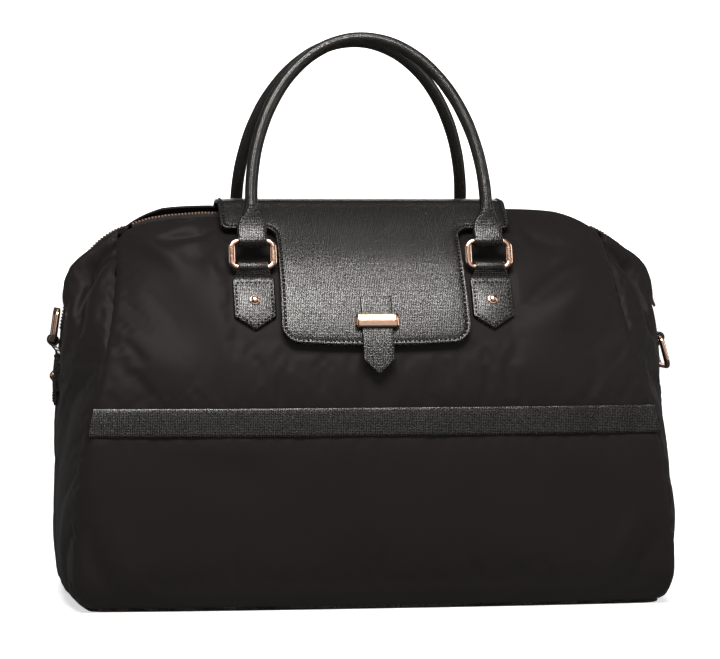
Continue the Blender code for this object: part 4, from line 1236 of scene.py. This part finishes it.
CHAPE_LENGTH, CHAPE_HALF = 0.0530, 0.0165
PAD_SHOULDER, PAD_TOP = 0.0112, 0.0432    # where the pad's point ends, and where its neck starts
NECK_HALF = 0.0117
CHAPE_LEATHER, CHAPE_CROWN = 0.0026, 0.0016
RIVET_RISE = 0.0245
STITCH_MARGIN = 0.0027


def chape_high(flat, loop_lift):
    """The lift of a chape's face: a padded crown that rises over its neck to the loop."""
    across = 1.0 - np.clip(np.abs(flat[:, 0]) / CHAPE_HALF, 0.0, 1.0) ** 2
    along = np.sin(math.pi * np.clip(flat[:, 1] / PAD_TOP, 0.0, 1.0))
    pad = GAP + CHAPE_LEATHER + CHAPE_CROWN * across * along
    climb = np.clip((flat[:, 1] - PAD_TOP - 0.0006) / (CHAPE_LENGTH - PAD_TOP - 0.0006), 0.0, 1.0)
    return pad + (loop_lift + LOOP - 0.0004 - pad) * (climb ** 1.25) * (1.7 - 0.7 * climb)


def rivet_arrays(place):
    profile = [(0.0, 0.0024), (0.0009, 0.00235), (0.0018, 0.0021), (0.0025, 0.0017), (0.0029, 0.0012),
               (0.00305, 0.00085), (0.0033, 0.00075), (0.0038, 0.00072), (0.0041, 0.00055), (0.0043, 0.0002),
               (0.0043, -0.0010)]
    angle = turns(36)
    sides = len(angle)
    points = [(0.0, 0.0, profile[0][1])]
    points += [(r * math.cos(a), r * math.sin(a), z) for r, z in profile[1:] for a in angle]
    faces = [(0, 1 + k, 1 + (k + 1) % sides) for k in range(sides)]
    faces += [tuple(int(i) + 1 for i in f) for f in grid_faces(len(profile) - 1, sides, wrap=True, flip=True)]
    last = 1 + (len(profile) - 2) * sides
    faces.append(tuple(reversed(range(last, last + sides))))
    return moved(np.array(points), place), faces


def frame_on(surface, a, row, height, across):
    """A frame standing on a surface: Z out of it, X along the direction given."""
    out = normals_of(surface, np.array(a), np.array(row))
    side = unit(across - out * (across @ out))
    place = Matrix(np.stack((side, np.cross(out, side), out), 1).tolist()).to_4x4()
    place.translation = Vector(surface(np.array(a), np.array(row)) + out * height)
    return place


def add_chape(name, surface, centre, ruler, top, loop_lift, loop_frame, body, node, rivet_node, across):
    def place(flat, lifts):
        return lift(surface, centre + flat[:, 0], ruler.row(top - CHAPE_LENGTH + flat[:, 1]), lifts)

    def high(flat, _):
        return chape_high(flat, loop_lift)

    def low(flat):
        return np.maximum(GAP, chape_high(flat, loop_lift) - CHAPE_LEATHER - CHAPE_CROWN)
    outline = rounded(mirrored([
        (0.0, 0.0, 0.0026), (CHAPE_HALF, PAD_SHOULDER, 0.0022), (CHAPE_HALF, PAD_TOP - 0.0006, 0.0014),
        (NECK_HALF + 0.0002, CHAPE_LENGTH - 0.0022, 0.0030), (NECK_HALF, CHAPE_LENGTH, 0.0)]), 0.0009)
    pad = add_patch(name, outline, place, low, high, SAFFIANO, 0.0016, 0.0010)
    place_piece(pad, body, "leather", node)
    points, faces, uv = loop_arrays(LOOP_HALF, loop_frame)
    loop = add_mesh(f"{name}_loop", points, faces, SAFFIANO, uv)
    place_piece(loop, body, "leather")
    pad_edge = mirrored([(0.0, 0.0, 0.0012), (CHAPE_HALF, PAD_SHOULDER, 0.0015),
                         (CHAPE_HALF, PAD_TOP, 0.0008)])
    path = inset(rounded(pad_edge, 0.0008), STITCH_MARGIN)

    def face_height(flat):
        return chape_high(flat, loop_lift) + 0.00020
    thread = stitches_on(path, place, face_height, 0.0034, 0.0020, 0.0017, True)
    add_stitches(f"{name}_stitches", [thread], body)
    rivet_row = ruler.row(top - CHAPE_LENGTH + RIVET_RISE)
    seat = GAP + CHAPE_LEATHER + CHAPE_CROWN
    points, faces = rivet_arrays(frame_on(surface, centre, rivet_row, seat, across))
    rivet = add_mesh(f"{name}_rivet", points, faces, ROSE_GOLD, None, 50.0)
    place_piece(rivet, body, "rose_gold", rivet_node)


def handle_pivot(face):
    """Where a handle ring's lower bar lies."""
    surface = front if face < 0.0 else back
    return lift(surface, np.array(HANDLE_X), np.array(row_at(PANEL_MID, 1, CHAPE_LOOP_HEIGHT)),
                np.array(LOOP_LIFT))


def add_handle_hardware():
    top_row = row_at(PANEL_MID, 1, CHAPE_LOOP_HEIGHT)
    for name, surface, face in FACES:
        pivot = handle_pivot(face)
        body = "mouth_front" if name == "front" else "bag"
        for side_name, side in HANDS:
            x = side * HANDLE_X
            at_pivot = Matrix.Translation((x, pivot[1], pivot[2]))
            ruler = Ruler(surface, x, top_row - 2.5, top_row)
            add_chape(f"{name}_chape_{side_name}_leather", surface, x, ruler, ruler.length[-1], LOOP_LIFT,
                      at_pivot, body, f"{name}_chape_{side_name}", f"{name}_rivet_{side_name}",
                      np.array((1.0, 0.0, 0.0)))
            lean = Matrix.Rotation(face * RING_LEAN, 4, 'X')
            add_ring(f"{name}_ring_{side_name}_metal", HANDLE_RING, at_pivot @ lean,
                     f"{name}_ring_{side_name[0]}", f"{name}_ring_{side_name}")


def add_side_hardware():
    top_row = row_at(SIDE_MID, 1, SIDE_LOOP_HEIGHT)
    flat = Matrix.Rotation(math.radians(90.0), 4, 'Z')
    for name, surface, side in SIDES:
        pivot = lift(surface, np.array(0.0), np.array(top_row), np.array(SIDE_LOOP_LIFT))
        at_pivot = Matrix.Translation(Vector(pivot))
        ruler = Ruler(surface, 0.0, top_row - 2.5, top_row)
        add_chape(f"side_chape_{name}_leather", surface, 0.0, ruler, ruler.length[-1], SIDE_LOOP_LIFT,
                  at_pivot @ flat, "bag", f"side_chape_{name}", f"side_rivet_{name}",
                  np.array((0.0, 1.0, 0.0)))
        swing = LEFT_RING_LEAN if side < 0.0 else math.pi - RIGHT_RING_TILT
        add_ring(f"side_ring_{name}_metal", SIDE_RING, at_pivot @ Matrix.Rotation(swing, 4, 'Y') @ flat,
                 f"side_ring_{name[0]}", f"side_ring_{name}")


# ---------------------------------------------------------------- handles
# Sections up a tab: (height, half width, half thickness).
TAB = np.array([(-0.0010, 0.0113, 0.0046), (0.0030, 0.0115, 0.0042), (0.0070, 0.0117, 0.0034),
                (0.0110, 0.0117, 0.0029), (0.0145, 0.0110, 0.0029), (0.0180, 0.0094, 0.0032),
                (0.0220, 0.0073, 0.0040), (0.0260, 0.0060, 0.0047), (0.0295, 0.0055, 0.0051),
                (0.0300, 0.0051, 0.0048)])


def tube_path():
    angle = np.linspace(math.pi, 0.0, 121)
    arch = np.stack((HANDLE_X * np.cos(angle), 0.0 * angle,
                     HANDLE_STRAIGHT + HANDLE_ARCH * np.sin(angle)), 1)
    foot = TAB_END - 0.0030
    return np.concatenate((((-HANDLE_X, 0.0, foot),), arch, ((HANDLE_X, 0.0, foot),)))


def add_roll(name, place, body, *nodes):
    """The rolled leather of a handle, with the ridge of its stitched seam along the inner side."""
    path = tube_path()
    along = unit(np.gradient(path, axis=0))
    out = np.stack((along[:, 2], 0.0 * along[:, 0], -along[:, 0]), 1)
    sides = 28
    angle = turns(sides)
    seam = np.exp(-((angle - math.pi) / 0.22) ** 2)
    run = run_along(path)
    girth = ROLL * (1.0 + 0.012 * np.sin(run * 90.0) + 0.010 * np.sin(run * 211.0))
    radius = girth[:, None] - 0.0002 + 0.00055 * seam[None]
    points = path[:, None] - out[:, None] * (radius * np.cos(angle)[None])[..., None]
    points[..., 1] += radius * np.sin(angle)[None]
    flat = points.reshape(-1, 3)
    uv = np.stack(np.broadcast_arrays((angle * ROLL)[None], run[:, None]), -1).reshape(-1, 2)
    item = add_mesh(name, moved(flat, place), tube_faces(len(path), sides), SAFFIANO, uv, 60.0)
    place_piece(item, body, "leather", *nodes)


def add_tab(name, x, place, body, node):
    levels = np.linspace(0.0, len(TAB) - 1.0, 55)
    heights, widths, thicks = np.moveaxis(smooth(TAB, levels), -1, 0)
    sides = 44
    angle = turns(sides, 0.5)
    share = np.clip((heights - 0.016) / 0.012, 0.0, 1.0)
    power = (0.42 + 0.58 * share)[:, None]
    px = x + widths[:, None] * squared_round(np.cos(angle)[None], power)
    py = thicks[:, None] * squared_round(np.sin(angle)[None], power)
    points = np.stack((px, py, np.broadcast_to(heights[:, None], px.shape)), -1).reshape(-1, 3)
    uv = np.stack((points[:, 0] - x, points[:, 2]), 1)
    parts = [(moved(points, place), tube_faces(len(levels), sides), uv),
             loop_arrays(LOOP_HALF, place @ Matrix.Translation((x, 0.0, 0.0)))]
    points, faces, uv = join_arrays(parts)
    place_piece(add_mesh(name, points, faces, SAFFIANO, uv, 50.0), body, "leather", node)
    rows = []
    for face in (-1.0, 1.0):
        def on_face(flat, lifts, face=face):
            thick = np.interp(flat[:, 1], heights, thicks)
            spots = np.stack((x + flat[:, 0], face * (thick + lifts), flat[:, 1]), 1)
            return moved(spots, place)
        for side in (-1.0, 1.0):
            rise = np.linspace(0.0060, 0.0265, 24)
            path = np.stack((side * (np.interp(rise, heights, widths) - 0.0024), rise), 1)
            rows.append(stitches_on(path, on_face, -0.00015, 0.0034, 0.0022, 0.0008))
    add_stitches(f"{name}_stitches", rows, body)


def add_handles():
    for name, _, face in FACES:
        pivot = handle_pivot(face)
        top_bar = Vector((0.0, pivot[1] - face * HANDLE_RING * math.sin(RING_LEAN),
                          pivot[2] + HANDLE_RING * math.cos(RING_LEAN)))
        place = Matrix.Translation(top_bar) @ Matrix.Rotation(face * HANDLE_LEAN, 4, 'X')
        body = f"{name}_handle"
        add_roll(f"{name}_handle_leather", place, body, f"{name}_handle_roll")
        for side_name, side in HANDS:
            add_tab(f"{name}_tab_{side_name}_leather", side * HANDLE_X, place, body,
                    f"{name}_handle_tab_{side_name}")


# ---------------------------------------------------------------- flap
FLAP_RULER = Ruler(flap, 0.0, 0.0, len(FLAP_PROFILE) - 1.0, 1500)


def on_flap(flat, lifts):
    return lift(flap, flat[:, 0], FLAP_RULER.row(flat[:, 1]), lifts)


def flap_spot(height):
    """The distance down the flap at a height on its front side."""
    return FLAP_RULER.distance(flap_step(height))


def flap_outline():
    lobe, bottom = flap_spot(LOBE_BOTTOM), flap_spot(DROP_BOTTOM)
    return rounded(mirrored([
        (FLAP_HALF, 0.0, 0.0040), (FLAP_HALF, lobe, 0.0070), (DROP_HALF, lobe, 0.0085),
        (DROP_HALF, lobe + 0.040, 0.0), (DROP_HALF + 0.0010, bottom - 0.0030, 0.0150),
        (0.036, bottom - 0.0008, 0.0800), (0.0, bottom, 0.2000)], from_left=True), 0.0014)


def flap_top(_, distance):
    """The flap's face: level, with a slight padded swell inside its stitching."""
    swell = 0.00035 * np.clip((distance - 0.004) / 0.010, 0.0, 1.0)
    return LEATHER - 0.0002 + swell


def add_flap():
    outline = flap_outline()
    item = add_patch("flap_skin", outline, on_flap, lambda flat: np.zeros(len(flat)), flap_top, SAFFIANO,
                     0.0030, 0.0009, 0.0030)
    place_piece(item, "flap", "leather", "flap_leather")
    path = inset(outline, 0.0030)
    start = path[:, 1] > 0.0035
    add_stitches("flap_stitches", [stitches_on(path[np.argsort(~start, kind="stable")][:int(start.sum())],
                                               on_flap, LEATHER - 0.0001, 0.0035, 0.0021, 0.0019)], "flap")


def add_strap():
    top, tip = flap_spot(0.2424), flap_spot(0.1832)
    outline = rounded(mirrored([(STRAP_HALF, top, 0.0008), (STRAP_HALF, tip - 0.0112, 0.0012),
                                (0.0, tip, 0.0018)], from_left=True), 0.0009)
    low = LEATHER + GAP

    def high(flat, _):
        return np.full(len(flat), low + LEATHER - 0.0004)
    item = add_patch("strap_leather", outline, on_flap, lambda flat: np.full(len(flat), low), high, SAFFIANO,
                     0.0020, 0.0008)
    place_piece(item, "flap", "leather", "flap_strap")


def add_keeper():
    """A metal bridge over the strap: a plain rounded bar on two rounded feet."""
    low_spot, high_spot = flap_spot(0.2288), flap_spot(0.2180)
    middle = 0.5 * (low_spot + high_spot)
    half_tall = 0.5 * (high_spot - low_spot)
    seat = LEATHER + GAP
    tunnel = seat + LEATHER + GAP
    outline = rounded([(-0.0175, middle - half_tall, 0.0030), (0.0175, middle - half_tall, 0.0030),
                       (0.0175, middle + half_tall, 0.0030), (-0.0175, middle + half_tall, 0.0030)], 0.0008)

    def high(flat, _):
        ends = np.clip((np.abs(flat[:, 0]) - 0.0140) / 0.0035, 0.0, 1.0)
        across = (flat[:, 1] - middle) / half_tall
        return tunnel + 0.0026 - 0.0018 * ends ** 2 - 0.0011 * across ** 2

    def low(flat):
        return np.where(np.abs(flat[:, 0]) < 0.0147, tunnel, seat)
    item = add_patch("keeper_metal", outline, on_flap, low, high, ROSE_GOLD, 0.0006, 0.0012)
    place_piece(item, "flap", "rose_gold", "flap_keeper")


# ---------------------------------------------------------------- the CAD nodes that stay
def dress_kept_nodes():
    kept = {"base_board": BOARD, "front_handle_core": ROPE, "back_handle_core": ROPE,
            "snap_socket": TEETH_GOLD, "snap_stud": TEETH_GOLD}
    for node, material in kept.items():
        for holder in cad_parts[node].material_slots:
            holder.material = material


# ---------------------------------------------------------------- stage
def stage_material(name, near, far):
    """A plain white that glows a little, more so away from the bag, so that floor and wall meet unseen."""
    n = Nodes(name)
    place = n.add("ShaderNodeTexCoord").outputs["Object"]
    away = n.add("ShaderNodeVectorMath", {0: place}, operation="LENGTH").outputs["Value"]
    grain = n.noise(place, 40.0, 2.0)
    return n.set(Base_Color=n.mix(grain, (0.85, 0.85, 0.85), (0.87, 0.87, 0.87)), Roughness=0.9,
                 Specular_IOR_Level=0.0, Emission_Color=(1.0, 1.0, 1.0, 1.0),
                 Emission_Strength=n.ramp(away, near, far, 0.45, 1.6))


def add_light(name, place, target, size, power, colour=(1.0, 1.0, 1.0)):
    data = bpy.data.lights.new(name, 'AREA')
    data.shape = 'RECTANGLE'
    data.size, data.size_y = size
    data.energy = power
    data.color = colour
    item = link(name, data)
    item.location = place
    item.rotation_euler = (Vector(target) - Vector(place)).to_track_quat('-Z', 'Y').to_euler()


def add_stage():
    half = 12.0
    corners = [(-half, -half, 0.0), (half, -half, 0.0), (half, half, 0.0), (-half, half, 0.0)]
    floor = add_mesh("floor", corners, [(0, 1, 2, 3)], stage_material("pale_floor", 0.62, 1.15))
    floor.visible_glossy = False
    radius, tall, sides = 11.5, 9.0, 48
    wall = np.array([(radius * math.cos(a), radius * math.sin(a), z)
                     for z in (0.0, tall) for a in turns(sides)])
    backdrop = add_mesh("backdrop", wall, [tuple(f) for f in grid_faces(2, sides, wrap=True)] +
                        [tuple(range(sides, 2 * sides))], stage_material("white_backdrop", 1.3, 1.3))
    backdrop.visible_glossy = backdrop.visible_diffuse = backdrop.visible_shadow = False
    world = bpy.data.worlds.new("studio")
    bpy.context.scene.world = world
    world.use_nodes = True
    world.node_tree.nodes["Background"].inputs[0].default_value = (1.0, 1.0, 1.0, 1.0)
    world.node_tree.nodes["Background"].inputs[1].default_value = 0.05
    add_light("front_card", (0.25, -2.60, 0.85), (0.0, 0.0, 0.22), (3.0, 2.0), 10.0)
    add_light("key", (-0.15, -1.08, 1.85), (0.0, 0.0, 0.22), (1.3, 0.8), 64.0, (1.0, 0.975, 0.94))
    add_light("top", (0.0, 0.15, 1.90), (0.0, 0.0, 0.2), (1.4, 1.2), 2.4)
    add_light("left_strip", (-1.50, -0.35, 0.75), (0.0, 0.0, 0.20), (0.35, 1.2), 1.4)
    add_light("right_strip", (1.50, -0.45, 0.75), (0.0, 0.0, 0.20), (0.35, 1.2), 5.0)
    add_light("rear", (0.5, 2.30, 0.75), (0.0, 0.0, 0.20), (1.6, 0.9), 9.0)


def add_camera():
    azimuth, elevation, distance = math.radians(-8.0), math.radians(2.0), 2.40
    metres_per_dot, picture_wide, sensor_wide = 0.000777, 720.0, 36.0
    target = Vector((-0.0157, -0.1200, 0.2195))
    away = Vector((math.sin(azimuth) * math.cos(elevation), -math.cos(azimuth) * math.cos(elevation),
                   math.sin(elevation)))
    data = bpy.data.cameras.new("camera")
    data.lens = sensor_wide * distance / (picture_wide * metres_per_dot)
    data.clip_start, data.clip_end = 0.1, 60.0
    camera = link("camera", data)
    camera.location = target + away * distance
    camera.rotation_euler = (-away).to_track_quat('-Z', 'Y').to_euler()
    bpy.context.scene.camera = camera


add_camera()
add_shell()
add_bands()
add_base()
add_lining()
add_mouth_lining()
add_mouth_zip()
add_gusset_zips()
add_slider()
add_handle_hardware()
add_side_hardware()
add_handles()
add_flap()
add_strap()
add_keeper()
dress_kept_nodes()
add_stage()
bpy.context.scene.view_settings.view_transform = 'Standard'
